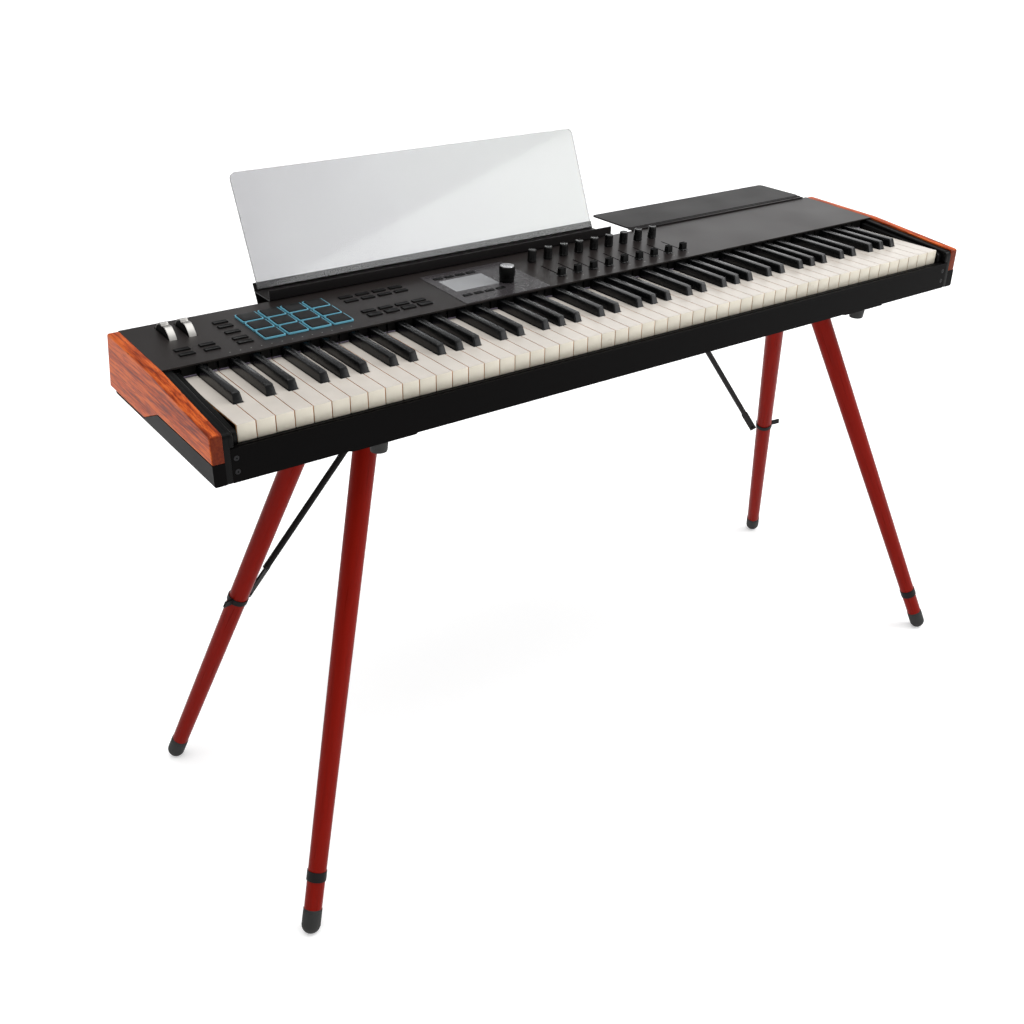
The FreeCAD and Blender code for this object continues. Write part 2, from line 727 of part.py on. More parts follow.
def build_wheels():
    """Two wheels on one axle, with bearing plates beside them and a bridge below."""
    for name, x in zip(("pitch_wheel", "mod_wheel"), wheel_xs):
        left = x - wheel_width / 2
        disc = cylinder(wheel_radius, (left, wheel_v, -wheel_depth), (1, 0, 0), wheel_width)
        disc = disc.makeFillet(wheel_edge, [e for e in disc.Edges if e.Length > 50])
        bore = cylinder(axle_radius + running_gap, (left - 1, wheel_v, -wheel_depth), (1, 0, 0),
                        wheel_width + 2)
        notch_angle = math.radians(wheel_notch_deg)
        reach = wheel_radius + wheel_notch_out
        notch = cylinder(wheel_notch_radius,
                         (left - 1, wheel_v - reach * math.cos(notch_angle),
                          -wheel_depth + reach * math.sin(notch_angle)), (1, 0, 0),
                         wheel_width + 2)
        nodes[name] = on_panel(disc.cut(bore).cut(notch))
    start = wheel_xs[0] - wheel_width / 2 - 5
    end = wheel_xs[1] + wheel_width / 2 + 5
    axle = cylinder(axle_radius, (start, wheel_v, -wheel_depth), (1, 0, 0), end - start)
    middle = (wheel_xs[0] + wheel_xs[1]) / 2
    front = wheel_v - bearing_half
    rear = wheel_v + bearing_half
    bridge_top = -wheel_depth - wheel_radius - bearing_gap
    bearings = [box(x, x + bearing_wall, front, rear, bridge_top - 1.5, -panel_thickness - 0.5)
                for x in (start, middle - bearing_wall / 2, end - bearing_wall)]
    bridge = box(start, end, front, rear, bridge_top - 2.5, bridge_top)
    nodes["wheel_axle"] = on_panel(fuse([axle, bridge] + bearings))


def knob_shape(x, v, base_radius, top_radius, height, gap):
    body = Part.makeCone(base_radius, top_radius, height, Vec(x, v, gap), Vec(0, 0, 1))
    body = body.makeFillet(0.8, [e for e in body.Edges
                                 if e.BoundBox.ZMin > gap + height - 0.01])
    shaft = cylinder(shaft_radius, (x, v, shaft_end), (0, 0, 1), gap + 1 - shaft_end)
    return body.fuse(shaft).removeSplitter()


def build_knobs():
    for index, (x, v) in enumerate(knob_places()):
        nodes["knob_%d" % (index + 1)] = on_panel(
            knob_shape(x, v, knob_base_radius, knob_top_radius, knob_height, knob_gap))
    encoder = knob_shape(encoder_x, encoder_v, encoder_radius - 0.5, encoder_radius,
                         encoder_height, encoder_gap)
    top = encoder_gap + encoder_height
    recess = cylinder(encoder_radius - 1.4, (encoder_x, encoder_v, top - 1.2), (0, 0, 1), 3)
    nodes["encoder_knob"] = on_panel(encoder.cut(recess))
    cap = cylinder(encoder_radius - 1.45, (encoder_x, encoder_v, top - 1.2), (0, 0, 1), 1.9)
    nodes["encoder_cap"] = on_panel(cap.makeFillet(
        0.5, [e for e in cap.Edges if e.BoundBox.ZMin > top + 0.6]))


def fader_shape(x):
    """A tall cap with a finger hollow, on a flared foot and a lever."""
    length_x, length_v, height = fader_cap
    half_x = length_x / 2
    half_v = length_v / 2
    taper = 0.6
    base = knob_gap
    top = base + height
    low = [Vec(x - half_x, fader_v - half_v, base), Vec(x + half_x, fader_v - half_v, base),
           Vec(x + half_x, fader_v + half_v, base), Vec(x - half_x, fader_v + half_v, base)]
    high = [Vec(x - half_x + taper, fader_v - half_v + 2 * taper, top),
            Vec(x + half_x - taper, fader_v - half_v + 2 * taper, top),
            Vec(x + half_x - taper, fader_v + half_v - taper, top),
            Vec(x - half_x + taper, fader_v + half_v - taper, top)]
    cap = Part.makeLoft([Part.makePolygon(low + low[:1]), Part.makePolygon(high + high[:1])],
                        True, True)
    hollow_radius = 4.2
    hollow_depth = 1.0
    finger = cylinder(hollow_radius, (x - half_x - 1, fader_v, top + hollow_radius - hollow_depth),
                      (1, 0, 0), length_x + 2)
    cap = cap.cut(finger)
    foot = slab(x, fader_v, fader_foot[:2], 0, base, base + fader_foot[2])
    lever_half_x, lever_half_v = fader_lever
    lever = box(x - lever_half_x, x + lever_half_x, fader_v - lever_half_v,
                fader_v + lever_half_v, fader_lever_end, base + 1)
    return fuse([cap, foot, lever])


def build_faders():
    """Nine sliders in three banks of three."""
    shapes = [fader_shape(x) for x, _ in knob_places()]
    for bank, name in enumerate(("left", "middle", "right")):
        group = shapes[3 * bank:3 * bank + 3]
        nodes["faders_" + name] = on_panel(Part.makeCompound(group))


def build_boards():
    """Main board under the panel, with the switches, pots and faders, and the key contacts."""
    top = -board_depth
    main = box(*board_x, board_v_gaps[0], panel_length - board_v_gaps[1],
               top - board_thickness, top)
    wheel_room = box(board_x[0] - 4, wheel_xs[1] + wheel_width / 2 + 5 + board_wheel_gap + 6.3,
                     wheel_v - wheel_radius - board_wheel_gap, panel_length, top - 3, top + 1)
    root = top - 0.2

    def potentiometer(x, v, radius):
        body = cylinder(radius, (x, v, root), (0, 0, 1), pot_top - root - 0.2)
        return body.cut(cylinder(shaft_radius + running_gap, (x, v, shaft_end - shaft_end_gap),
                                 (0, 0, 1), 9))

    bodies = []
    for x, v, size in button_places() + display_button_places():
        bodies.append(slab(x, v, (0, 0), switch_half, root, top + switch_height))
    slot_front = fader_v - 4.0
    slot_rear = fader_v + fader_travel + 4.0
    for x, v in knob_places():
        bodies.append(potentiometer(x, v, pot_radius))
        body = box(x - fader_body_half, x + fader_body_half, slot_front - 4, slot_rear + 4,
                   root, -4.0)
        bodies.append(body.cut(box(x - 1.0, x + 1.0, slot_front, slot_rear, -10.5, 0)))
    bodies.append(potentiometer(encoder_x, encoder_v, encoder_body_radius))
    for x, v in pad_places():
        bodies.append(slab(x, v, (pad_size, pad_size), -switch_half, root, -5.1 - pad_travel))
    contact_low = body_bottom + bed_height
    contacts = box(*contact_board, contact_low, contact_low + board_thickness)
    nodes["circuit_boards"] = Part.makeCompound(
        [on_panel(fuse([main.cut(wheel_room)] + bodies)), contacts])


def build_nameboard(white_tails):
    """A dark comb below the panel's front edge, with a felt edge over every white tail."""
    y0 = panel_front_y + 1.0
    y1 = y0 + comb_depth
    felt_low, felt_high = felt_rise
    beam_low = black_height + 0.7
    beam_high = panel_front_z - panel_thickness - 0.3
    beam = box(-half_keys, half_keys, y0, y1, beam_low, beam_high)
    teeth = []
    felts = []
    for left, right in white_tails:
        x0 = left + comb_tooth_gap
        x1 = right - comb_tooth_gap
        teeth.append(box(x0, x1, y0, y1, felt_high, beam_low + 0.2))
        felts.append(box(x0, x1, y0 - 0.6, y1, felt_low, felt_high))
    nodes["nameboard_comb"] = fuse([beam] + teeth)
    nodes["key_felt"] = Part.makeCompound(felts)


# ------------------------------------------------------------------ rest and shelf
def lean_dir():
    lean = math.radians(rest_lean_deg)
    return Vec(0, math.sin(lean), math.cos(lean))


def gusset(x, top, rear):
    """A rib that bears on the leaning rear wall, a little clear of it."""
    low = top - gusset_height
    near = rear_y(low) + gusset_clear
    outline = [(rear_y(top) + gusset_clear, top + 0.5), (rear, top + 0.5), (near + 3, low),
               (near, low)]
    return prism_x(outline, x - gusset_thickness / 2, x + gusset_thickness / 2)


def build_music_rest():
    x0 = rest_middle_x - rest_width / 2
    x1 = rest_middle_x + rest_width / 2
    ledge_z = panel_rear_z + mounting_gap
    lip_y = panel_rear_y - rest_lip_front
    lip = box(x0, x1, lip_y, lip_y + steel_thickness, ledge_z, ledge_z + rest_lip_height)
    ledge = box(x0, x1, lip_y, lip_y + rest_depth, ledge_z, ledge_z + steel_thickness)
    up = lean_dir()
    back = Vec(0, up.z, -up.y)
    corner = Vec(0, lip_y + rest_depth, ledge_z)
    low = corner - up * rest_flange_down
    high = corner + up * rest_flange_up
    outline = [low, high, high + back * steel_thickness, low + back * steel_thickness]
    flange = prism_x([(p.y, p.z) for p in outline], x0, x1)
    gussets = [gusset(rest_middle_x + share * rest_width / 2, ledge_z, corner.y - 4)
               for share in (-0.5, 0.0, 0.5)]
    rail = fuse([lip, ledge, flange] + gussets)
    nodes["music_rest_rail"] = soften(
        rail, 0.6, lambda e: along(e, Vec(1, 0, 0)) and abs(e.BoundBox.ZMax
                                                          - ledge_z - rest_lip_height) < 0.01)
    half = rest_sheet_width / 2
    lean = math.radians(rest_lean_deg)
    floor_gap = steel_thickness + rest_sheet_gap
    base = Vec(0, corner.y + floor_gap * math.tan(lean), corner.z + floor_gap)
    base = base - back * (rest_sheet_thickness + rest_sheet_gap)
    base = base + up * (rest_sheet_thickness * math.sin(lean))
    sheet = Part.makeBox(rest_sheet_width, rest_sheet_thickness, rest_sheet_length)
    sheet = soften(sheet, rest_corner, lambda e: along(e, Vec(0, 1, 0))
                   and e.BoundBox.ZMin > rest_sheet_length - 1)
    sheet.rotate(Vec(0, 0, 0), Vec(1, 0, 0), -rest_lean_deg)
    sheet.translate(Vec(rest_middle_x - half, base.y, base.z))
    nodes["music_rest_sheet"] = sheet


def build_shelf():
    x0, x1 = shelf_x
    front_y = panel_rear_y + 4.0
    low = panel_rear_z + mounting_gap
    plate = box(x0, x1, front_y, shelf_rear_y, shelf_top_z - steel_thickness, shelf_top_z)
    bar = box(x0, x1, panel_rear_y - 2.5, front_y + 6.0, low, shelf_top_z - 0.8)
    groove = box(x0 - 1, x1 + 1, panel_rear_y + 0.2, panel_rear_y + 1.6, shelf_top_z - 2.2,
                 shelf_top_z)
    fold = box(x0 + 20, x1 - 20, rear_y(0) + 12, rear_y(0) + 12 + steel_thickness,
               shelf_top_z - shelf_fold, shelf_top_z - 1)
    gussets = [gusset(x, shelf_top_z - steel_thickness, rear_y(0) + 13)
               for x in (x0 + 40, (x0 + x1) / 2, x1 - 40)]
    nodes["shelf_plate"] = fuse([plate, bar.cut(groove), fold] + gussets)


# ------------------------------------------------------------------ legs
def leg_line(top, foot):
    start = Vec(top[0], top[1], body_bottom - plate_thickness)
    end = Vec(foot[0], foot[1], floor_z + foot_radius - foot_flat)
    axis = end.sub(start)
    return start, end, axis.normalize(), end.sub(start).Length


def leg_radius(distance, length):
    return leg_top_radius + (leg_foot_radius - leg_top_radius) * distance / length


def build_leg(top, foot, front):
    start, end, axis, length = leg_line(top, foot)
    above = 20.0
    shaft_end = length - 4.0
    slope = (leg_foot_radius - leg_top_radius) / length
    cone = Part.makeCone(leg_top_radius - slope * above, leg_foot_radius, length + above
                         - (length - shaft_end), start - axis * above, axis)
    above_plate = box(start.x - 100, start.x + 100, start.y - 100, start.y + 100, start.z,
                      start.z + 100)
    wood = cone.cut(above_plate)
    bore = Part.makeCylinder(stud_radius + running_gap, stud_length + 0.5 + above,
                             start - axis * above, axis)
    wood = wood.cut(bore)
    stud = Part.makeCylinder(stud_radius, stud_length + 10, start - axis * 10, axis)
    stud = stud.cut(above_plate)

    cup_start = start + axis * (length - foot_length + foot_radius)
    cup = Part.makeCylinder(foot_radius, foot_length - foot_radius, cup_start, axis)
    dome = Part.makeSphere(foot_radius, end)
    foot_solid = cup.fuse(dome).removeSplitter()
    below = box(end.x - 60, end.x + 60, end.y - 60, end.y + 60, floor_z - 60, floor_z)
    foot_solid = foot_solid.cut(below).cut(cone)

    if front:
        collar_mid = length + foot_radius - front_collar_up
        height = front_collar_height
        proud = 0.9
    else:
        collar_mid = length + foot_radius - rear_collar_up
        height = rear_collar_height
        proud = 1.3
    radius = leg_radius(collar_mid - height / 2, length) + proud
    collar = Part.makeCylinder(radius, height, start + axis * (collar_mid - height / 2), axis)
    collar = collar.cut(cone)
    return wood, stud, foot_solid, collar, start + axis * collar_mid, radius, axis


def build_legs():
    feet = []
    collars = []
    plates = []
    braces = []
    legs = {"front": [], "rear": []}
    for sign in (1, -1):
        pick = (lambda shape: shape) if sign > 0 else mirrored
        studs = []
        for name, top, foot in (("front", front_leg_top, front_leg_foot),
                                ("rear", rear_leg_top, rear_leg_foot)):
            wood, stud, rubber, collar, ring, ring_radius, axis = build_leg(
                top, foot, name == "front")
            if name == "rear":
                brace, ear = build_brace(ring, ring_radius, axis)
                collar = fuse([collar, ear])
                braces.append(pick(brace))
            legs[name].append(pick(wood))
            feet.append(pick(rubber))
            collars.append(pick(collar))
            studs.append(stud)
        plate = box(plate_x[0], plate_x[1], plate_y[0], plate_y[1],
                    body_bottom - plate_thickness, body_bottom)
        plate = soften(plate, 8.0, lambda e: along(e, Vec(0, 0, 1)))
        plate = fuse([plate] + studs)
        plates.append(pick(plate))
    for name, shapes in legs.items():
        nodes[name + "_legs"] = Part.makeCompound(shapes)
    nodes["rubber_feet"] = Part.makeCompound(feet)
    nodes["leg_collars"] = Part.makeCompound(collars)
    nodes["leg_plates"] = Part.makeCompound(plates)
    nodes["leg_braces"] = Part.makeCompound(braces)


def build_brace(ring, ring_radius, leg_axis):
    """A tube from under the case to an ear on the rear leg's clamp."""
    top = Vec(brace_top[0], brace_top[1], body_bottom - brace_hinge_drop)
    toward = top.sub(ring)
    toward = toward.sub(leg_axis * toward.dot(leg_axis)).normalize()
    tip = ring + toward * (ring_radius + ear_length - brace_bolt_inset)
    line = top.sub(tip)
    length = line.Length
    line.normalize()
    side = leg_axis.cross(line).normalize()
    ear = Part.makeBox(ear_width, brace_plate, ear_length)
    frame = FreeCAD.Matrix(leg_axis.x, side.x, toward.x, 0, leg_axis.y, side.y, toward.y, 0,
                           leg_axis.z, side.z, toward.z, 0, 0, 0, 0, 1)
    ear.translate(Vec(-ear_width / 2, 0.0, ring_radius - 1.0))
    ear = ear.transformGeometry(FreeCAD.Placement(frame).toMatrix())
    ear.translate(ring)
    tube = Part.makeCylinder(brace_radius, length - brace_tab_length,
                             tip + line * brace_tab_length, line)
    tab = Part.makeBox(brace_tab_width, brace_plate, brace_tab_length + 10.0)
    cross = side.cross(line).normalize()
    tab_frame = FreeCAD.Matrix(cross.x, side.x, line.x, 0, cross.y, side.y, line.y, 0,
                               cross.z, side.z, line.z, 0, 0, 0, 0, 1)
    tab.translate(Vec(-brace_tab_width / 2, -brace_plate - 0.1, -brace_bolt_inset))
    tab = tab.transformGeometry(FreeCAD.Placement(tab_frame).toMatrix())
    tab.translate(tip)
    bolt = Part.makeCylinder(bolt_radius, 9.0, tip - side * 5.0, side)
    pad_side, pad_thickness = brace_pad
    pad = slab(top.x, top.y, (pad_side, pad_side), 0, body_bottom - pad_thickness, body_bottom)
    hinge_radius, hinge_width = brace_hinge
    knuckle = cylinder(hinge_radius, (top.x - hinge_width / 2, top.y, top.z), (1, 0, 0),
                       hinge_width)
    neck = box(top.x - 6, top.x + 6, top.y - 5, top.y + 5, top.z, body_bottom - 1)
    brace = fuse([tube, tab, pad, knuckle, neck])
    hole = Part.makeCylinder(bolt_radius, 30.0, tip - side * 15.0, side)
    brace = brace.cut(hole)
    ear = fuse([ear.cut(hole), bolt])
    return brace, ear


def build_case_feet(screws):
    feet = []
    for sign in (1, -1):
        for y, top in ((case_foot_xy[1], body_bottom - plate_thickness),
                       (case_foot_rear_y, body_bottom)):
            x = sign * case_foot_xy[0]
            low = body_bottom - plate_thickness - case_foot_height
            cone = Part.makeCone(case_foot_radius, case_foot_radius - case_foot_taper, top - low,
                                 Vec(x, y, top), Vec(0, 0, -1))
            cone = soften(cone, case_foot_edge, lambda e: e.BoundBox.ZMax < low + 0.01)
            feet.append(cone)
    nodes["body_feet"] = Part.makeCompound(feet)
    head_radius, head_height = base_screw_head
    for x in base_screw_xs:
        for y in base_screw_ys:
            head = cylinder(head_radius, (x, y, body_bottom - head_height), (0, 0, 1),
                            head_height)
            slot = box(x - 3, x + 3, y - 0.4, y + 0.4, body_bottom - 2, body_bottom - 1.2)
            screws.append(head.cut(slot))
    nodes["case_screws"] = Part.makeCompound(screws)


# ------------------------------------------------------------------ build
tails, sharp_xs = build_keys()
build_keybed()
build_cheeks()
build_tray()
rail_screws = build_rail()
build_end_blocks()
build_rear_panel()
build_panel()
build_wheels()
build_knobs()
build_faders()
build_boards()
build_nameboard(tails)
build_music_rest()
build_shelf()
build_legs()
build_case_feet(rail_screws)

whole = Part.makeCompound(list(nodes.values())).BoundBox
shift = Vec(-(whole.XMin + whole.XMax) / 2, -(whole.YMin + whole.YMax) / 2, -whole.ZMin)
for name, shape in nodes.items():
    shape = shape.copy()
    shape.translate(shift)
    if not shape.isValid():
        print("not valid:", name)
    shape.exportStep("parts/%s.step" % name)

print("nodes", len(nodes))
print("box", round(whole.XLength, 1), round(whole.YLength, 1), round(whole.ZLength, 1))
print("shift", round(shift.x, 4), round(shift.y, 4), round(shift.z, 4))
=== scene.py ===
"""Stage keyboard with wooden cheeks, slanted legs, a clear music rest and a laptop shelf.

Shapes are worked out in millimetres from the front left of the key tops: X along the keys
from the middle, Y from the key fronts to the rear, Z up from the white key tops.  The
function placed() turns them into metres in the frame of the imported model.
"""
import math

import bpy
import numpy as np
from mathutils import Matrix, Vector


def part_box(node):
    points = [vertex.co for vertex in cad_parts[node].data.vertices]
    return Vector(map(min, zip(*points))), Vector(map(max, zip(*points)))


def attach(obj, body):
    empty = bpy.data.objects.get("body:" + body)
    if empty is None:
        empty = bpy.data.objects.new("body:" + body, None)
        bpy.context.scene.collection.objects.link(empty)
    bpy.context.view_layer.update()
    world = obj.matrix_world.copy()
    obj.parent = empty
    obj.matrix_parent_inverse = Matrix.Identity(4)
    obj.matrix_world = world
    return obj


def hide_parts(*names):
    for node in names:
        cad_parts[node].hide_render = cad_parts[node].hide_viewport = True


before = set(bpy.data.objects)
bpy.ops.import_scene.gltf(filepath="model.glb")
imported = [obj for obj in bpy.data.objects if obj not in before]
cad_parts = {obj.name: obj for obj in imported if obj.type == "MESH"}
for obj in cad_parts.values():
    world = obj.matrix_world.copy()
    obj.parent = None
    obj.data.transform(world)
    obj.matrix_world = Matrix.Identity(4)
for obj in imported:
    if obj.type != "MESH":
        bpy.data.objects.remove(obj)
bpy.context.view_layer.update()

bl_info = {
    "name": "Stage Keyboard",
    "version": (1, 0, 0),
    "blender": (4, 5, 0),
    "location": "View3D > Sidebar > Keyboard",
    "description": "Builds the keys, cheeks, controls, legs and stage of a weighted controller",
    "category": "Object",
}

MM = 0.001
KEY_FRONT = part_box("keys_c")[0].y
KEY_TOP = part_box("keys_c")[1].z
PANEL_LOW, PANEL_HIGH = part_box("top_panel")
PANEL_SHEET = 2.0
PANEL_Y = (PANEL_LOW.y - KEY_FRONT) / MM
PANEL_RUN = (PANEL_HIGH.y - PANEL_LOW.y) / MM
PANEL_RISE = (PANEL_HIGH.z - PANEL_LOW.z) / MM - PANEL_SHEET
PANEL_Z = (PANEL_HIGH.z - KEY_TOP) / MM - PANEL_RISE
SLOPE = math.atan2(PANEL_RISE, PANEL_RUN)
NECK_Y = (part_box("keys_c_sharp")[0].y - KEY_FRONT) / MM - 0.7


# ------------------------------------------------------------------ colours and settings
def linear(text):
    """An sRGB hex value as three linear numbers."""
    parts = [int(text[i:i + 2], 16) / 255 for i in (1, 3, 5)]
    return tuple(p / 12.92 if p <= 0.04045 else ((p + 0.055) / 1.055) ** 2.4 for p in parts)


def colour(name, description, text):
    return bpy.props.FloatVectorProperty(name=name, description=description, size=3, min=0,
                                         max=1, subtype="COLOR", default=linear(text))


def length(name, description, millimetres):
    return bpy.props.FloatProperty(name=name, description=description, unit="LENGTH",
                                   default=millimetres * MM, min=0)


class KeyLook(bpy.types.PropertyGroup):
    """Sizes and colours of the keys."""
    cover: length("Cover thickness", "Thickness of a white key's cover", 2.0)
    white_edge: length("White edge", "Rounding of a white key's top edge", 0.4)
    black_edge: length("Black edge", "Rounding of a black key's top edge", 0.7)
    white: colour("White", "White key tops", "#CDC6BD")
    # Front is painted lighter than the covers to make up for the shade on the key fronts.
    front: colour("Front", "White key fronts", "#D4CDBD")
    # Side is a painted warm glow and shade for the gaps between the white keys, not the bodies'
    # own white.
    side: colour("Side", "Key bodies, seen in the gaps", "#E0A26A")
    black: colour("Black", "Black keys", "#08090A")
    felt: colour("Felt", "Felt strip behind the keys", "#6A5E74")


class CaseLook(bpy.types.PropertyGroup):
    """Sizes and colours of the case."""
    edge: length("Cheek edge", "Rounding of the wooden cheeks", 2.2)
    panel: colour("Panel", "Top panel", "#231F1E")
    plate: colour("Display plate", "Plate around the screen", "#363335")
    case: colour("Case", "Tray, rail and rear", "#070606")
    bracket: colour("Brackets", "Music rest, shelf and leg fittings", "#1C1A1A")
    wood_light: colour("Wood, light", "Cheek wood between the grain lines", "#CC6228")
    wood_middle: colour("Wood, middle", "Cheek wood", "#B24A1C")
    wood_dark: colour("Wood, dark", "Grain lines and pores of the cheeks", "#70260E")
    leg_light: colour("Leg, light", "Stained leg wood between the grain lines", "#7E1004")
    leg_dark: colour("Leg, dark", "Grain of the stained legs", "#560A03")


class ControlLook(bpy.types.PropertyGroup):
    """Sizes and colours of the controls."""
    pad_edge: length("Pad edge", "Rounding of a pad", 1.1)
    button_edge: length("Button edge", "Rounding of a button", 0.7)
    rib_depth: length("Knob ribs", "Depth of the ribs round a knob", 0.15)
    black: colour("Black plastic", "Buttons, knobs and fader caps", "#0B0B0B")
    pad: colour("Pads", "Silicone pads", "#0E0F10")
    glow: colour("Pad outline", "Light guide round a pad", "#5FA3B8")
    tread: colour("Wheel tread", "Aluminium tread of the wheels", "#B9B7B3")
    cap: colour("Encoder cap", "Turned cap of the main encoder", "#D8D8DA")
    screen: colour("Screen", "Display behind its cover", "#87888A")
    mark: colour("Marks", "Dots on the panel", "#8E8E8C")


class StageLook(bpy.types.PropertyGroup):
    """Camera and light."""
    distance: length("Camera distance", "From the camera to the point that it looks at", 1900)
    lens: bpy.props.FloatProperty(name="Lens", description="Focal length in millimetres",
                                  default=41.0, min=10)
    azimuth: bpy.props.FloatProperty(name="Azimuth", description="How far the view turns right",
                                     subtype="ANGLE", default=math.radians(35.8))
    elevation: bpy.props.FloatProperty(name="Elevation", description="How far it looks down",
                                       subtype="ANGLE", default=math.radians(28.8))
    roll: bpy.props.FloatProperty(name="Roll", description="How far the camera leans",
                                  subtype="ANGLE", default=math.radians(0.713))
    dome: bpy.props.FloatProperty(name="Dome", description="Brightness of the overhead dome",
                                  default=2.6, min=0)
    sky: bpy.props.FloatProperty(name="Sky", description="Brightness below the dome",
                                 default=0.22, min=0)
    floor: colour("Floor", "Floor and backdrop", "#E6E6E6")


def look(group):
    return getattr(bpy.context.scene, "stage_keyboard_" + group)


def mm(value):
    """A length setting in millimetres."""
    return value / MM


# ------------------------------------------------------------------ places and shapes
def placed(points):
    """Millimetres in the keyboard's frame to metres in the model's frame."""
    points = np.asarray(points, float) * MM
    return points + np.array([0.0, KEY_FRONT, KEY_TOP])


def on_panel(points):
    """(x, along the panel, above it) to the keyboard's frame: a turn about X and a move."""
    points = np.asarray(points, float)
    y = PANEL_Y + points[..., 1] * math.cos(SLOPE) - points[..., 2] * math.sin(SLOPE)
    z = PANEL_Z + points[..., 1] * math.sin(SLOPE) + points[..., 2] * math.cos(SLOPE)
    return np.stack([points[..., 0], y, z], -1)


def off_panel(points):
    """The inverse of on_panel."""
    y = points[..., 1] - PANEL_Y
    z = points[..., 2] - PANEL_Z
    along = y * math.cos(SLOPE) + z * math.sin(SLOPE)
    above = z * math.cos(SLOPE) - y * math.sin(SLOPE)
    return np.stack([points[..., 0], along, above], -1)


def solids(node):
    """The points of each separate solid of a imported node, in the keyboard's frame, sorted
    along X.  Points joined by a triangle take the lowest label among them until none changes."""
    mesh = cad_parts[node].data
    mesh.calc_loop_triangles()
    co = np.empty(len(mesh.vertices) * 3)
    mesh.vertices.foreach_get("co", co)
    co = (co.reshape(-1, 3) - np.array([0.0, KEY_FRONT, KEY_TOP])) / MM
    tri = np.empty(len(mesh.loop_triangles) * 3, int)
    mesh.loop_triangles.foreach_get("vertices", tri)
    points, index = np.unique(np.round(co, 3), axis=0, return_inverse=True)
    tri = index.reshape(-1)[tri].reshape(-1, 3)
    label = np.arange(len(points))
    while True:
        low = label[tri].min(1)
        after = label.copy()
        for corner in range(3):
            np.minimum.at(after, tri[:, corner], low)
        after = after[after]
        if np.array_equal(after, label):
            break
        label = after
    found = [points[label == value] for value in np.unique(label)]
    return sorted(found, key=lambda p: (round(p[:, 0].min(), 1), p[:, 1].min()))


def extent(points):
    return points.min(0), points.max(0)


def stack(rings, hoop=False):
    """Loops of equal length joined by quads; the ends are filled, or joined as a hoop."""
    rings = np.asarray(rings, float)
    rows, count = rings.shape[:2]
    steps = rows if hoop else rows - 1
    i = np.arange(steps)[:, None] * count
    n = (np.arange(steps)[:, None] + 1) % rows * count
    j = np.arange(count)[None, :]
    k = (j + 1) % count
    quads = np.stack([i + j, i + k, n + k, n + j], -1).reshape(-1, 4).tolist()
    if not hoop:
        quads.append(list(range(count))[::-1])
        quads.append([(rows - 1) * count + c for c in range(count)])
    return rings.reshape(-1, 3), quads


def outline(corners, radii, steps=4):
    """A function that gives a polygon's rounded outline moved inwards by a distance: the
    corners go along their mitres, and a radius shrinks outside a turn and grows inside it."""
    corners = np.asarray(corners, float)
    radii = np.asarray(radii, float)
    area = (corners[:, 0] * np.roll(corners[:, 1], -1)
            - corners[:, 1] * np.roll(corners[:, 0], -1)).sum()
    if area < 0:
        corners = corners[::-1]
        radii = radii[::-1]
    into = corners - np.roll(corners, 1, 0)
    into /= np.linalg.norm(into, axis=1)[:, None]
    away = np.roll(into, -1, 0)
    left_in = np.stack([-into[:, 1], into[:, 0]], -1)
    left_out = np.stack([-away[:, 1], away[:, 0]], -1)
    turn = into[:, 0] * away[:, 1] - into[:, 1] * away[:, 0]
    cosine = (into * away).sum(1)
    mitre = (left_in + left_out) / (1 + cosine)[:, None]
    reach = np.tan(np.arccos(np.clip(cosine, -1, 1)) / 2)
    share = np.linspace(0, 1, steps + 1)[:, None]

    def ring(distance):
        out = []
        for i, corner in enumerate(corners + mitre * distance):
            if radii[i] == 0:
                out.append(corner[None])
                continue
            radius = max(radii[i] - math.copysign(distance, turn[i]), 0.01)
            start = corner - into[i] * radius * reach[i]
            end = corner + away[i] * radius * reach[i]
            side = math.copysign(radius, turn[i])
            centre = start + left_in[i] * side
            arc = (start - centre) * (1 - share) + (end - centre) * share
            arc *= radius / np.linalg.norm(arc, axis=1)[:, None]
            out.append(centre + arc)
        return np.concatenate(out)
    return ring


def rectangle(x0, x1, y0, y1, radius, steps=5):
    """The outline of a rectangle with four equal corners."""
    return outline([(x0, y0), (x1, y0), (x1, y1), (x0, y1)], [radius] * 4, steps)


def edge_levels(low, high, low_edge, high_edge, steps=4):
    """(inset, height) pairs of a wall whose two rims are quarter circles."""
    angle = np.linspace(0, math.pi / 2, steps + 1)
    rise = [(low_edge * (1 - math.sin(a)), low + low_edge * (1 - math.cos(a))) for a in angle]
    fall = [(high_edge * (1 - math.cos(a)), high - high_edge * (1 - math.sin(a)))
            for a in angle]
    flat_low = [(low_edge * 1.6, low)]
    flat_high = [(high_edge * 1.6, high)]
    return flat_low + rise + fall + flat_high


def block(ring, levels):
    """A flat outline carried upwards, moved inwards by each level's inset."""
    rings = []
    for amount, height in levels:
        loop = ring(amount)
        rings.append(np.column_stack([loop, np.full(len(loop), height)]))
    return stack(rings)


def turned(profile, sides=48):
    """A profile of (radius, height) carried round the Z axis."""
    angle = np.linspace(0, 2 * math.pi, sides, endpoint=False)
    profile = np.asarray(profile, float)
    rings = np.stack([profile[:, :1] * np.cos(angle), profile[:, :1] * np.sin(angle),
                      np.repeat(profile[:, 1:], sides, 1)], -1)
    return rings


def swap(shape, order):
    """A shape with its axes taken in another order."""
    points, faces = shape
    return points[:, order], faces


def moved(shape, offset):
    points, faces = shape
    return points + np.asarray(offset, float), faces


def laid(shape):
    """A shape given as (x, along, above) laid on the panel."""
    points, faces = shape
    return on_panel(points), faces


def mirrored(shape):
    points, faces = shape
    return points * np.array([-1.0, 1.0, 1.0]), [face[::-1] for face in faces]


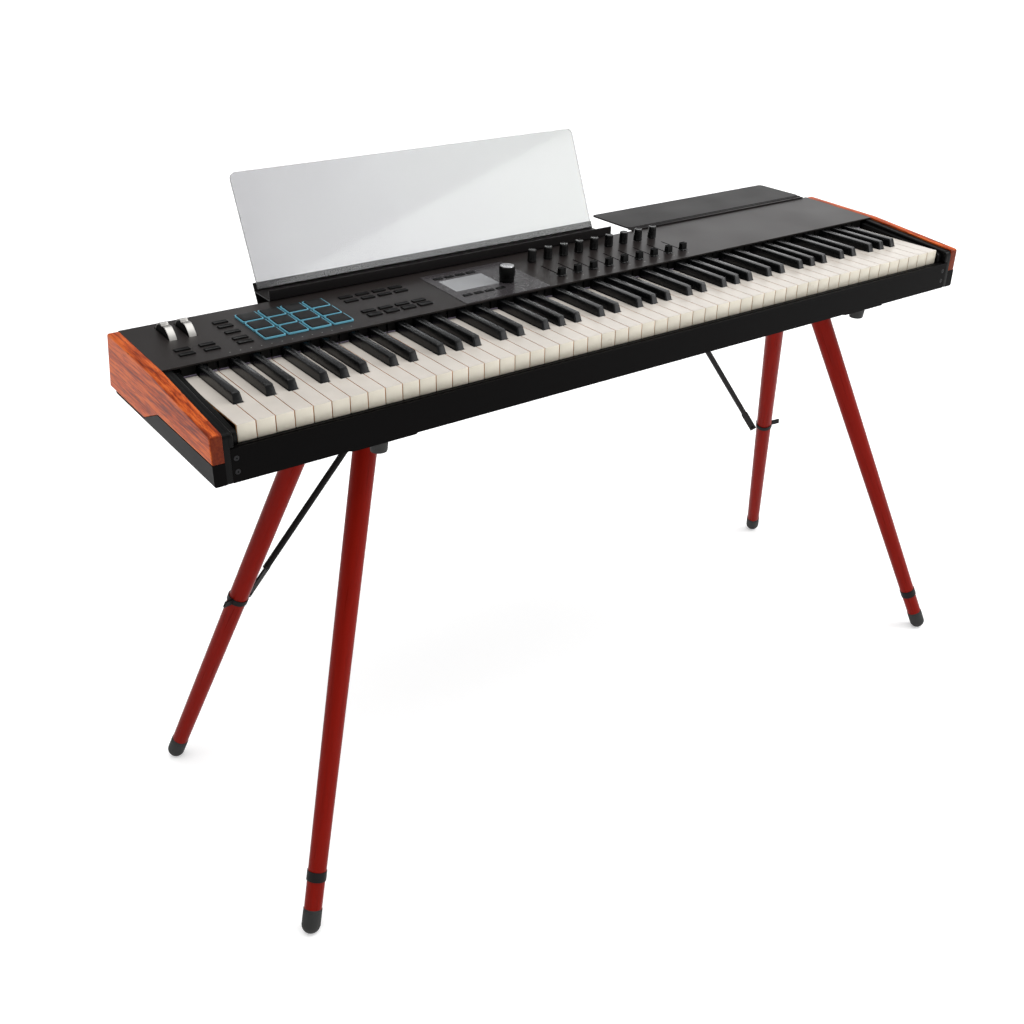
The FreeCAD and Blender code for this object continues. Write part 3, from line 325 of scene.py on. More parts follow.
def axes_of(direction):
    """Two unit vectors at right angles to a direction, and the direction, as rows."""
    w = np.asarray(direction, float)
    w = w / np.linalg.norm(w)
    u = np.cross([0.0, 0.0, 1.0] if abs(w[2]) < 0.95 else [0.0, 1.0, 0.0], w)
    u /= np.linalg.norm(u)
    return np.stack([u, np.cross(w, u), w])


def outward(points, faces):
    """True if the faces of a closed shape look outwards: the volume that they sweep from the
    middle is positive."""
    fans = [(f[0], f[i], f[i + 1]) for f in faces for i in range(1, len(f) - 1)]
    a, b, c = (points[np.array(fans)] - points.mean(0)).transpose(1, 0, 2)
    return (a * np.cross(b, c)).sum() > 0


def piece(name, body, nodes, shapes, smooth=32.0, local=None):
    """One object from (shape, material) pairs.  Its place is in its mesh, it rides on a body
    and stands for the named nodes.  local holds points before placing, for the grain."""
    points = []
    faces = []
    kinds = []
    materials = []
    start = 0
    for (shape_points, shape_faces), material in shapes:
        if material not in materials:
            materials.append(material)
        if not outward(shape_points, shape_faces):
            shape_faces = [face[::-1] for face in shape_faces]
        points.append(placed(shape_points))
        faces += [[v + start for v in face] for face in shape_faces]
        kinds += [materials.index(material)] * len(shape_faces)
        start += len(shape_points)
    mesh = bpy.data.meshes.new(name)
    mesh.from_pydata(np.concatenate(points).tolist(), [], faces)
    mesh.polygons.foreach_set("material_index", kinds)
    for material in materials:
        mesh.materials.append(finish(material))
    mesh.shade_smooth()
    mesh.set_sharp_from_angle(angle=math.radians(smooth))
    if local is not None:
        attribute = mesh.attributes.new("grain", "FLOAT_VECTOR", "POINT")
        attribute.data.foreach_set("vector", (np.concatenate(local) * MM).ravel())
    mesh.update()
    made = bpy.data.objects.new(name, mesh)
    bpy.context.scene.collection.objects.link(made)
    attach(made, body)
    if nodes:
        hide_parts(*nodes)
    return made


# ------------------------------------------------------------------ materials
def add(tree, kind, settings=None, links=None):
    """Adds a node, sets its sockets or attributes, and links its sockets to outputs."""
    made = tree.nodes.new(kind)
    for key, value in (settings or {}).items():
        if isinstance(key, int) or key in made.inputs:
            made.inputs[key].default_value = value
        else:
            setattr(made, key, value)
    for key, source in (links or {}).items():
        tree.links.new(source, made.inputs[key])
    return made


SHADER_SOCKETS = {
    "colour": "Base Color", "roughness": "Roughness", "metallic": "Metallic", "ior": "IOR",
    "specular": "Specular IOR Level", "coat": "Coat Weight",
    "coat_roughness": "Coat Roughness", "sheen": "Sheen Weight",
    "sheen_roughness": "Sheen Roughness", "transmission": "Transmission Weight",
    "emission": "Emission Color", "emission_strength": "Emission Strength",
}


def start(name, **settings):
    """A material with its shader; settings go on the shader's own sockets."""
    material = bpy.data.materials.new(name)
    material.use_nodes = True
    tree = material.node_tree
    shader = tree.nodes["Principled BSDF"]
    for key, value in settings.items():
        if key in ("colour", "emission"):
            value = (*value, 1.0)
        shader.inputs[SHADER_SOCKETS[key]].default_value = value
    return material, tree, shader


def coordinates(tree, stretch=(1, 1, 1), attribute=None):
    """Object coordinates, or a stored attribute, scaled along each axis."""
    if attribute:
        vector = add(tree, "ShaderNodeAttribute", {"attribute_name": attribute})
        vector = vector.outputs["Vector"]
    else:
        vector = add(tree, "ShaderNodeTexCoord").outputs["Object"]
    return add(tree, "ShaderNodeMapping", {"Scale": stretch},
               {"Vector": vector}).outputs["Vector"]


def noise(tree, vector, size_mm, detail=2.0, roughness=0.5, distortion=0.0):
    """Noise whose blotches are about size_mm across."""
    made = add(tree, "ShaderNodeTexNoise",
               {"Scale": 1 / (size_mm * MM), "Detail": detail, "Roughness": roughness,
                "Distortion": distortion}, {"Vector": vector})
    return made.outputs["Fac"]


def ramp(tree, factor, stops):
    """A colour ramp through (place, colour) stops."""
    made = add(tree, "ShaderNodeValToRGB", None, {"Fac": factor})
    elements = made.color_ramp.elements
    while len(elements) < len(stops):
        elements.new(0.5)
    for element, (place, value) in zip(elements, stops):
        element.position = place
        element.color = (*value, 1.0)
    return made.outputs["Color"]


def spread(tree, factor, low, high, dark=0.0, light=1.0):
    """A number from one range to another."""
    made = add(tree, "ShaderNodeMapRange", {"From Min": low, "From Max": high,
                                            "To Min": dark, "To Max": light},
               {"Value": factor})
    return made.outputs["Result"]


def bump(tree, shader, height, depth_mm):
    made = add(tree, "ShaderNodeBump", {"Distance": depth_mm * MM}, {"Height": height})
    tree.links.new(made.outputs["Normal"], shader.inputs["Normal"])


def shade(value, factor):
    return tuple(min(1.0, c * factor) for c in value)


def moulded(name, value, roughness, grain_mm, depth_mm, **more):
    """Injection-moulded plastic from a textured tool: an even colour that shifts a little,
    a fine grain that breaks up highlights, and slow changes in gloss from handling."""
    more.setdefault("ior", 1.49)
    material, tree, shader = start(name, **more)
    vector = coordinates(tree)
    cloud = noise(tree, vector, 45.0, 3.0)
    tree.links.new(ramp(tree, cloud, [(0.3, shade(value, 0.94)), (0.7, shade(value, 1.05))]),
                   shader.inputs["Base Color"])
    tree.links.new(spread(tree, cloud, 0.3, 0.7, roughness - 0.03, roughness + 0.04),
                   shader.inputs["Roughness"])
    bump(tree, shader, noise(tree, vector, grain_mm, 2.0), depth_mm)
    return material


def powder_coat(name, value, roughness, specular, grain_mm=0.9, depth_mm=0.003):
    """Powder-coated steel: an orange-peel grain and a soft, slightly uneven gloss.  The real
    grain of about 0.3 mm is drawn coarser so that it shows."""
    material, tree, shader = start(name, ior=1.5, specular=specular)
    vector = coordinates(tree)
    speck = noise(tree, vector, grain_mm, 3.0, 0.6)
    cloud = noise(tree, vector, 120.0, 2.0)
    both = add(tree, "ShaderNodeMath", {"operation": "ADD"}, {0: speck, 1: cloud})
    tree.links.new(ramp(tree, spread(tree, both.outputs[0], 0.6, 1.4),
                        [(0.2, shade(value, 0.88)), (0.8, shade(value, 1.10))]),
                   shader.inputs["Base Color"])
    tree.links.new(spread(tree, cloud, 0.3, 0.7, roughness - 0.03, roughness + 0.05),
                   shader.inputs["Roughness"])
    bump(tree, shader, speck, depth_mm)
    return material


def grained_wood(name, light, middle, dark, roughness, stretch, ring_mm, contrast, **more):
    """Hardwood cut along the grain: growth rings drawn out along the board, fine streaks,
    and short dark pores that also dent the surface.  Faces looking forwards or backwards are
    darker: partly the oiled end grain, partly painted shade on the shaded front faces."""
    attribute = more.pop("attribute", None)
    end_grain = more.pop("end_grain", 0.0)
    material, tree, shader = start(name, ior=1.47, **more)
    vector = coordinates(tree, stretch, attribute)
    wander = noise(tree, vector, ring_mm * 3.0, 2.0, 0.5, 0.4)
    turns = add(tree, "ShaderNodeMath", {"operation": "MULTIPLY", 1: 30.0}, {0: wander})
    wave = add(tree, "ShaderNodeMath", {"operation": "SINE"}, {0: turns.outputs[0]})
    streak = noise(tree, vector, ring_mm * 0.3, 4.0, 0.6)
    mixed = add(tree, "ShaderNodeMath", {"operation": "MULTIPLY_ADD", 1: 0.06 * contrast},
                {0: wave.outputs[0], 2: streak})
    half = 0.22 / contrast
    base = ramp(tree, mixed.outputs[0], [(0.5 - half, dark), (0.5, middle),
                                         (0.5 + half * 0.8, light)])
    fine = noise(tree, coordinates(tree, tuple(s * 0.8 for s in stretch), attribute), 1.0,
                 2.0, 0.4)
    pores = spread(tree, fine, 0.62, 0.72, 0.0, 0.55 * contrast)
    inked = add(tree, "ShaderNodeMix", {"data_type": "RGBA", 7: (*shade(dark, 0.6), 1)},
                {0: pores, 6: base})
    # Darkening by facing: partly darker end grain, partly painted shade on faces that look
    # forwards or backwards.
    normal = add(tree, "ShaderNodeNewGeometry").outputs["True Normal"]
    along = add(tree, "ShaderNodeSeparateXYZ", None, {"Vector": normal}).outputs["Y"]
    facing = add(tree, "ShaderNodeMath", {"operation": "ABSOLUTE"}, {0: along}).outputs[0]
    darkened_ends = add(tree, "ShaderNodeMix", {"data_type": "RGBA", 7: (*shade(dark, 0.55), 1)},
                 {0: spread(tree, facing, 0.6, 0.9, 0.0, end_grain), 6: inked.outputs[2]})
    tree.links.new(darkened_ends.outputs[2], shader.inputs["Base Color"])
    tree.links.new(spread(tree, streak, 0.3, 0.7, roughness - 0.04, roughness + 0.05),
                   shader.inputs["Roughness"])
    bump(tree, shader, spread(tree, pores, 0.0, 1.0, 1.0, 0.0), 0.05 * contrast)
    return material


def drawn_metal(name, value, roughness, stretch, depth_mm=0.01):
    """Brushed or drawn metal: long fine scratches in one direction."""
    material, tree, shader = start(name, colour=value, metallic=1.0)
    vector = coordinates(tree, stretch)
    scratch = noise(tree, vector, 0.5, 3.0, 0.7)
    tree.links.new(spread(tree, scratch, 0.3, 0.7, roughness - 0.08, roughness + 0.12),
                   shader.inputs["Roughness"])
    bump(tree, shader, scratch, depth_mm)
    return material


def polished_keytop():
    """Polished resin key covers: bright and faintly warm, with a soft gloss."""
    return moulded("polished_resin_keytop", look("keys").white, 0.20, 3.0, 0.003)


def key_front():
    """Moulded fronts of the white keys: creamier than the covers and less glossy, and painted
    lighter than the covers to make up for the shade on the front faces.
    """
    return moulded("moulded_resin_key_front", look("keys").front, 0.30, 2.0, 0.004)


def key_body_gap_glow():
    """Key bodies in a warm brownish tone: a painted glow and shade for the gaps between the keys.
    """
    return moulded("key_body_painted_gap_glow", look("keys").side, 0.45, 1.2, 0.01)


def matt_black_key():
    """Black ABS from a finely blasted tool, for grip: dark, with a broad soft highlight."""
    return moulded("blasted_abs_black_key", look("keys").black, 0.24, 0.7, 0.0005,
                   specular=0.42)


def needled_felt():
    """Needled wool felt: tangled short fibres and a soft sheen."""
    material, tree, shader = start("needled_wool_felt", roughness=0.95, sheen=0.5,
                                   sheen_roughness=0.6)
    fibre = noise(tree, coordinates(tree), 0.8, 5.0, 0.7)
    base = look("keys").felt
    tree.links.new(ramp(tree, fibre, [(0.3, shade(base, 0.6)), (0.7, shade(base, 1.25))]),
                   shader.inputs["Base Color"])
    bump(tree, shader, fibre, 0.25)
    return material


def panel_paint():
    """Fine-textured powder coat on the steel top panel."""
    return powder_coat("textured_powder_coat_panel", look("case").panel, 0.32, 0.20)


def plate_paint():
    """Satin polycarbonate around the screen, a little lighter than the panel."""
    return moulded("satin_polycarbonate_plate", look("case").plate, 0.26, 1.4, 0.0005,
                   specular=0.34)


def case_paint():
    """Satin black powder coat of the tray, rail and rear wall."""
    return powder_coat("satin_powder_coat_case", look("case").case, 0.36, 0.03)


def bracket_paint():
    """Smoother black coat of the music rest, the shelf and the leg fittings."""
    return powder_coat("smooth_powder_coat_brackets", look("case").bracket, 0.38, 0.07,
                       depth_mm=0.001)


def cheek_wood():
    """Oiled mahogany-like hardwood: orange brown, long grain along the cheek."""
    case = look("case")
    # The strong darkening of the cheek ends is partly darker end grain, partly painted shade on
    # the shaded front faces.
    return grained_wood("oiled_open_grained_hardwood", case.wood_light, case.wood_middle,
                        case.wood_dark, 0.45, (1.0, 0.06, 1.0), 10.0, 1.35, specular=0.12,
                        end_grain=0.9)


def leg_wood():
    """Red-stained beech under clear lacquer: even colour, faint grain along the leg."""
    case = look("case")
    return grained_wood("stained_lacquered_beech", case.leg_light, shade(case.leg_light, 0.9),
                        case.leg_dark, 0.30, (1.0, 1.0, 0.05), 14.0, 0.22, attribute="grain",
                        specular=0.07)


def soft_rubber():
    """Compression-moulded rubber: dull black with a fine bloom."""
    return moulded("compression_moulded_rubber", linear("#1B1B1A"), 0.70, 0.8, 0.02, ior=1.52,
                   specular=0.4)


def zinc_steel():
    """Zinc-plated steel: a grey metal with faint drawing lines."""
    return drawn_metal("zinc_plated_steel", linear("#A9A9A8"), 0.38, (0.05, 1.0, 1.0))


def black_oxide():
    """Black-oxide screws: dark steel with a soft oily shine."""
    return drawn_metal("black_oxide_steel", linear("#2A2A2B"), 0.30, (1.0, 1.0, 1.0))


def circuit_laminate():
    """Glass-epoxy laminate under green solder mask, with a fine weave in relief."""
    return moulded("solder_masked_laminate", linear("#1E4A2C"), 0.35, 0.8, 0.02)


def control_plastic():
    """Black ABS buttons and mouldings with a spark-eroded grain."""
    return moulded("eroded_abs_controls", look("controls").black, 0.34, 0.7, 0.004,
                   specular=0.08)


def glossy_plastic():
    """Black ABS knobs from a polished tool: dark, with narrow bright highlights."""
    return moulded("polished_abs_knobs", look("controls").black, 0.16, 0.9, 0.0005,
                   specular=0.4)


def pad_silicone():
    """Silicone rubber pads: black, silky, with a broad dull highlight."""
    return moulded("moulded_silicone_pad", look("controls").pad, 0.44, 0.9, 0.006, ior=1.43,
                   specular=0.25)


def light_guide():
    """Milky polycarbonate light guide, softly lit from below."""
    glow = look("controls").glow
    return moulded("milky_polycarbonate_light_guide", glow, 0.35, 2.0, 0.004,
                   emission=glow, emission_strength=0.10)


def wheel_tread():
    """Brushed aluminium tread, the scratches running round the wheel."""
    return drawn_metal("brushed_aluminium_tread", look("controls").tread, 0.40,
                       (1.0, 0.06, 0.06), 0.01)


def turned_cap():
    """Turned and polished aluminium: fine rings round the middle."""
    middle = solids("encoder_cap")[0].mean(0)
    material, tree, shader = start("turned_polished_aluminium", colour=look("controls").cap,
                                   metallic=1.0)
    centre = placed(middle)
    vector = add(tree, "ShaderNodeMapping", {"Location": tuple(-centre)},
                 {"Vector": add(tree, "ShaderNodeTexCoord").outputs["Object"]})
    rings = add(tree, "ShaderNodeTexWave", {"wave_type": "RINGS", "rings_direction": "Z",
                                            "Scale": 1 / (2.6 * MM), "Distortion": 0.3},
                {"Vector": vector.outputs["Vector"]})
    tree.links.new(spread(tree, rings.outputs["Fac"], 0, 1, 0.20, 0.32),
                   shader.inputs["Roughness"])
    bump(tree, shader, rings.outputs["Fac"], 0.004)
    return material


def cast_acrylic():
    """Clear cast acrylic with glossy faces.  Painted shade gives it a grey tint in uneven
    blotches, darkest at the left end and fading towards the right."""
    material, tree, shader = start("clear_cast_acrylic", roughness=0.05, ior=1.49,
                                   transmission=0.86)
    low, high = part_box("music_rest_sheet")
    vector = coordinates(tree)
    place = add(tree, "ShaderNodeSeparateXYZ", None, {"Vector": vector}).outputs["X"]
    along = spread(tree, place, low.x, high.x)
    shade_blotches = spread(tree, noise(tree, vector, 160.0, 1.0), 0.3, 0.7, -0.08, 0.08)
    both = add(tree, "ShaderNodeMath", {"operation": "ADD"}, {0: along, 1: shade_blotches})
    # Painted shade: the tint darkens the sheet's left end and fades towards the right.
    tree.links.new(ramp(tree, both.outputs[0], [(0.0, linear("#BFBFC1")),
                                                (0.45, linear("#CDCECF")),
                                                (1.0, linear("#D2D4D3"))]),
                   shader.inputs["Base Color"])
    return material


def display_cover():
    """Hard-coated cover over a grey display: smooth, with a painted reflection, a slow gradient
    across it.
    """
    base = look("controls").screen
    material, tree, shader = start("hard_coated_display_cover", roughness=0.12)
    low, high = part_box("screen")
    vector = coordinates(tree)
    split = add(tree, "ShaderNodeSeparateXYZ", None, {"Vector": vector})
    across = spread(tree, split.outputs["X"], low.x, high.x)
    depth = spread(tree, split.outputs["Y"], low.y, high.y)
    both = add(tree, "ShaderNodeMath", {"operation": "MULTIPLY_ADD", 1: 0.5},
               {0: depth, 2: across})
    # Painted reflection: lighter at the front left, darker towards the right and the rear.
    tree.links.new(ramp(tree, both.outputs[0],
                        [(0.0, shade(base, 1.1)), (0.55, shade(base, 1.0)),
                         (1.0, shade(base, 0.86))]),
                   shader.inputs["Base Color"])
    return material


def printed_mark():
    """Screen-printed ink: pale, matt, slightly raised at its edges."""
    return moulded("screen_printed_ink", look("controls").mark, 0.6, 0.5, 0.004)


def socket_nylon():
    """Black nylon sockets."""
    return moulded("moulded_nylon_socket", linear("#101011"), 0.5, 0.9, 0.02)


MAKERS = {
    "keytop": polished_keytop, "key_front": key_front, "key_body_gap_glow": key_body_gap_glow,
    "black_key": matt_black_key, "felt": needled_felt, "panel": panel_paint,
    "plate": plate_paint, "case": case_paint, "bracket": bracket_paint,
    "cheek": cheek_wood, "leg": leg_wood, "rubber": soft_rubber, "steel": zinc_steel,
    "oxide": black_oxide, "board": circuit_laminate, "control": control_plastic,
    "gloss": glossy_plastic, "pad": pad_silicone, "guide": light_guide,
    "tread": wheel_tread, "cap": turned_cap, "acrylic": cast_acrylic,
    "screen": display_cover, "mark": printed_mark, "socket": socket_nylon,
}
made_finishes = {}


def finish(name):
    """The named material, made the first time it is asked for."""
    if name not in made_finishes:
        made_finishes[name] = MAKERS[name]()
    return made_finishes[name]


# ------------------------------------------------------------------ keys
def white_key_shapes(points):
    """A cover with rounded edges on a skirt and body in the painted gap glow, with a thin front
    plate.
    """
    low, high = extent(points)
    settings = look("keys")
    edge = mm(settings.white_edge)
    thick = mm(settings.cover)
    arm_front = high[1] - 24.0
    tail = points[(points[:, 1] > 60.0) & (points[:, 1] < arm_front + 1) & (points[:, 2] > -1)]
    t0, t1 = tail[:, 0].min(), tail[:, 0].max()
    neck = NECK_Y
    x0, x1 = low[0], high[0]
    corners = [(x0, 0.0), (x1, 0.0)]
    radii = [edge, edge]
    if t1 < x1 - 0.1:
        corners += [(x1, neck), (t1, neck)]
        radii += [edge, 0.5]
    corners += [(t1, arm_front), (t0, arm_front)]
    radii += [0.3, 0.3]
    if t0 > x0 + 0.1:
        corners += [(t0, neck), (x0, neck)]
        radii += [0.5, edge]
    shell = outline(corners, radii, 3)
    seam = -edge - 0.05
    cover = block(shell, edge_levels(seam, 0.0, 0.02, edge, 3))
    brown = [(x, y + 1.0 if y < 0.1 else y) for x, y in corners]
    skirt = block(outline(brown, radii, 3), edge_levels(-thick, seam + 0.05, 0.1, 0.03, 1))
    back = arm_front - 1
    join = -thick + 0.3
    body = block(rectangle(t0 + 0.15, t1 - 0.15, 3.0, back, 0.3, 1),
                 edge_levels(-14.0, join, 0.3, 0.1, 1))
    head = block(rectangle(x0 + 0.15, x1 - 0.15, 2.0, neck - 0.3, 0.3, 1),
                 edge_levels(-14.0, join, 0.3, 0.1, 1))
    apron = block(rectangle(x0 + 0.1, x1 - 0.1, 0.1, 1.1, 0.3, 2),
                  edge_levels(low[2], seam + 0.04, 0.5, 0.02, 3))
    core = block(rectangle(x0 + 0.1, x1 - 0.1, 1.05, 4.2, 0.3, 1),
                 edge_levels(low[2] + 0.4, join, 0.3, 0.1, 1))
    middle = (t0 + t1) / 2
    arm = block(rectangle(middle - 4, middle + 4, back - 2, high[1], 0.5, 1),
                edge_levels(-14.0, -2.0, 0.3, 0.3, 1))
    return [(cover, "keytop"), (skirt, "key_body_gap_glow"), (body, "key_body_gap_glow"), (head, "key_body_gap_glow"),
            (apron, "key_front"), (core, "key_body_gap_glow"), (arm, "key_body_gap_glow")]


def black_key_shapes(points):
    """Loops that narrow and lean back as they rise, closed by a quarter-round crown."""
    low, high = extent(points)
    crown = mm(look("keys").black_edge)
    head = points[points[:, 2] > 1.0]
    top = points[points[:, 2] > high[2] - 0.01]
    rear = head[:, 1].max()
    half = (high[0] - low[0]) / 2
    top_half = (head[:, 0].max() - head[:, 0].min()) / 2
    narrow = min(top_half, half - 1.3)
    middle = (high[0] + low[0]) / 2
    front_top = top[:, 1].min() - 1.0
    rings = []
    height = high[2]
    walls = [(t, 0.0) for t in (0, 0.05, 0.1, 0.16, 0.3, 0.5, 0.75, 1)]
    turns = [(1.0, a) for a in np.linspace(0, math.pi / 2, 6)[1:]]
    for t, a in walls + turns:
        z = (height - crown) * t + crown * math.sin(a)
        share = z / height
        drawn_in = crown * (1 - math.cos(a))
        width = half + (narrow - half) * share - drawn_in
        flare = 0.4 * max(0.0, 1 - z / 1.6) ** 2
        width += flare
        front = low[1] + (front_top - low[1]) * share ** 1.3 + drawn_in * 1.2 - flare
        loop = rectangle(middle - width, middle + width, front, rear - drawn_in * 0.2,
                         2.2 - 0.6 * t, 4)(0)
        rings.append(np.column_stack([loop, np.full(len(loop), z)]))
    loop = rectangle(middle - half, middle + half, low[1], rear, 2.2, 4)(0)
    rings.insert(0, np.column_stack([loop, np.full(len(loop), low[2])]))
    body = block(rectangle(middle - half, middle + half, rear - 4, high[1] - 23, 0.6, 1),
                 edge_levels(low[2], -0.1, 0.3, 0.3, 1))
    arm = block(rectangle(middle - 4, middle + 4, high[1] - 25, high[1], 0.5, 1),
                edge_levels(low[2], -2.0, 0.3, 0.3, 1))
    return [(stack(rings), "black_key"), (body, "black_key"), (arm, "black_key")]


WHITE_NOTES = ("c", "d", "e", "f", "g", "a", "b")
BLACK_NOTES = ("c_sharp", "d_sharp", "f_sharp", "g_sharp", "a_sharp")


class KEYBOARD_OT_white_keys(bpy.types.Operator):
    """Builds the white keys, one piece for each note name"""
    bl_idname = "stage_keyboard.white_keys"
    bl_label = "White keys"

    def execute(self, context):
        for note in WHITE_NOTES:
            node = "keys_" + note
            shapes = [s for points in solids(node) for s in white_key_shapes(points)]
            piece("white_" + node, node, [node], shapes)
        return {"FINISHED"}


class KEYBOARD_OT_black_keys(bpy.types.Operator):
    """Builds the black keys, one piece for each note name"""
    bl_idname = "stage_keyboard.black_keys"
    bl_label = "Black keys"

    def execute(self, context):
        for note in BLACK_NOTES:
            node = "keys_" + note
            shapes = [s for points in solids(node) for s in black_key_shapes(points)]
            piece("black_" + node, node, [node], shapes)
        return {"FINISHED"}


# ------------------------------------------------------------------ case
class KEYBOARD_OT_cheeks(bpy.types.Operator):
    """Builds the wooden cheeks with rounded edges"""
    bl_idname = "stage_keyboard.cheeks"
    bl_label = "Wooden cheeks"

    def execute(self, context):
        edge = mm(look("case").edge)
        low, high = extent(solids("wood_cheek_right")[0])
        bottom = low[2]
        corners = [(low[1], -35.0), (low[1], -0.5), (PANEL_Y, PANEL_Z),
                   (PANEL_Y + PANEL_RUN, high[2]), (high[1], bottom), (206.0, bottom),
                   (151.0, -35.0)]
        ring = outline(corners, [1.0, 4.0, 60.0, 4.0, 1.5, 6.0, 6.0], 6)
        right = swap(block(ring, edge_levels(low[0], high[0], 0.4, edge)), [2, 0, 1])
        piece("wood_cheek_right_board", "case", ["wood_cheek_right"],
              [(right, "cheek")])
        piece("wood_cheek_left_board", "case", ["wood_cheek_left"],
              [(mirrored(right), "cheek")])
        return {"FINISHED"}


class KEYBOARD_OT_end_blocks(bpy.types.Operator):
    """Builds the moulded blocks between the keys and the cheeks"""
    bl_idname = "stage_keyboard.end_blocks"
    bl_label = "End blocks"

    def execute(self, context):
        points = solids("end_blocks")[-1]
        low, high = extent(points)
        bottom = low[2]
        step_x = low[0] + 8.6
        front = low[1]
        top = high[2]
        outer_corners = [(front, bottom), (front, -2.5), (PANEL_Y, PANEL_Z - 2.2),
                         (PANEL_Y, -40.0), (10.0, -40.0), (10.0, bottom)]
        outer_ring = outline(outer_corners, [1.0, 7.0, 0.4, 0.4, 0.4, 0.4], 6)
        rail_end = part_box("front_rail")[1].x / MM
        full = block(outer_ring, edge_levels(rail_end + 0.05, high[0], 0.6, 0.3))
        upper_corners = [(front, -19.5), (front, -2.5), (PANEL_Y, PANEL_Z - 2.2),
                         (PANEL_Y, -19.5)]
        upper_ring = outline(upper_corners, [1.0, 7.0, 0.4, 0.4], 6)
        upper = block(upper_ring, edge_levels(step_x, rail_end + 1.0, 2.0, 0.1))
        inner_corners = [(-1.0, -40.0), (-4.0, -19.5), (-4.0, -5.5), (PANEL_Y, PANEL_Z - 7.2),
                         (PANEL_Y, -40.0)]
        inner_ring = outline(inner_corners, [0.4, 0.4, 7.0, 0.4, 0.4], 6)
        inner = block(inner_ring, edge_levels(low[0], step_x + 1.0, 1.0, 0.1))
        right = [swap(shape, [2, 0, 1]) for shape in (full, upper, inner)]
        shapes = [(shape, "control") for shape in right]
        shapes += [(mirrored(shape), "control") for shape in right]
        piece("end_block_mouldings", "case", ["end_blocks"], shapes)
        return {"FINISHED"}


KEPT = {
    "top_panel": "panel", "display_plate": "plate", "base_tray": "case",
    "front_rail": "case", "rear_panel": "case", "keybed_frame": "steel",
    "key_pivot_rod": "steel", "key_felt": "felt", "nameboard_comb": "control",
    "circuit_boards": "board", "rear_sockets": "socket", "wheel_axle": "steel",
    "case_screws": "oxide", "leg_plates": "case", "leg_braces": "bracket",
    "leg_collars": "bracket", "power_button": "control",
}


class KEYBOARD_OT_finishes(bpy.types.Operator):
    """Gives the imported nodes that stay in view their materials"""
    bl_idname = "stage_keyboard.finishes"
    bl_label = "Finishes of the frame"

    def execute(self, context):
        for node, name in KEPT.items():
            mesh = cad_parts[node].data
            mesh.materials.clear()
            mesh.materials.append(finish(name))
        return {"FINISHED"}


# ------------------------------------------------------------------ controls
def panel_boxes(node):
    """The box of each solid of a node, in the panel's own directions."""
    return [extent(off_panel(points)) for points in solids(node)]


def button_shape(low, high, flange, edge):
    """A rounded key top with a shallow dish."""
    x0, x1 = low[0] + flange, high[0] - flange
    v0, v1 = low[1] + flange, high[1] - flange
    levels = edge_levels(-3.0, high[2], 0.1, edge)
    levels += [(edge * 2.4, high[2] - 0.05), (edge * 3.4, high[2] - 0.16)]
    return laid(block(rectangle(x0, x1, v0, v1, 1.1, 4), levels))


class KEYBOARD_OT_buttons(bpy.types.Operator):
    """Builds the panel buttons and the display buttons"""
    bl_idname = "stage_keyboard.buttons"
    bl_label = "Buttons"

    def execute(self, context):
        edge = mm(look("controls").button_edge)
        for node in ("panel_buttons", "display_buttons"):
            shapes = [(button_shape(low, high, 0.8, edge), "control")
                      for low, high in panel_boxes(node)]
            piece(node + "_tops", node, [node], shapes)
        return {"FINISHED"}


class KEYBOARD_OT_pads(bpy.types.Operator):
    """Builds the pads and the light guides round them"""
    bl_idname = "stage_keyboard.pads"
    bl_label = "Pads"

    def execute(self, context):
        edge = mm(look("controls").pad_edge)
        shapes = []
        for low, high in panel_boxes("pads"):
            ring = rectangle(low[0], high[0], low[1], high[1], 2.0, 5)
            levels = edge_levels(low[2], high[2] - 0.2, 0.2, edge)
            levels += [(3.0, high[2] - 0.08), (7.0, high[2])]
            shapes.append((laid(block(ring, levels)), "pad"))
        piece("silicone_pads", "pads", ["pads"], shapes)
        rings = []
        for low, high in panel_boxes("pad_frames"):
            outer = rectangle(low[0], high[0], low[1], high[1], 2.6, 5)
            wall = 1.35
            top = high[2]
            path = [(0.0, low[2]), (0.0, top - 0.3), (0.3, top), (wall - 0.3, top),
                    (wall, top - 0.3), (wall, low[2])]
            loops = [np.column_stack([outer(amount), np.full(24, height)])
                     for amount, height in path]
            rings.append((laid(stack(loops, True)), "guide"))
        piece("pad_light_guides", "case", ["pad_frames"], rings)
        return {"FINISHED"}


def ribbed(profile, ribs, depth, first, last, sides):
    """A turned profile whose radius waves round the axis between two rows of it."""
    rings = turned(profile, sides)
    angle = np.linspace(0, 2 * math.pi, sides, endpoint=False)
    wave = 1 - np.abs(np.sin(ribs * angle / 2)) ** 0.6
    cut = np.zeros(len(rings))
    cut[first:last] = depth
    radius = np.linalg.norm(rings[:, :1, :2], axis=2)
    scale = 1 - cut[:, None] * wave[None, :] / np.maximum(radius, 1e-3)
    rings[..., :2] *= scale[..., None]
    return rings


def knob_shape(low, high, ribs, depth):
    """A finely ribbed grip that narrows a little upwards, with a rounded, hollowed top."""
    middle = (low + high) / 2
    radius = (high[0] - low[0]) / 2
    top = high[2]
    foot = 0.8
    grip = radius - 0.7
    profile = [(radius - 0.9, foot), (radius - 0.3, foot + 0.2), (radius, foot + 0.8),
               (radius, foot + 1.6), (radius - 0.15, foot + 2.2), (radius - 0.15, foot + 2.6),
               (grip + 0.1, top - 1.9), (grip, top - 1.3), (grip - 0.3, top - 0.5),
               (grip - 0.8, top - 0.1), (grip - 1.4, top), (grip - 1.9, top - 0.2),
               (grip - 3.4, top - 0.5), (0.4, top - 0.55)]
    rings = ribbed(profile, ribs, depth, 5, 7, 108)
    offset = (middle[0], middle[1], 0)
    shaft = stack(turned([(3.0, low[2]), (3.0, foot + 0.5)], 24))
    return [(laid(moved(stack(rings), offset)), "gloss"), (laid(moved(shaft, offset)), "steel")]


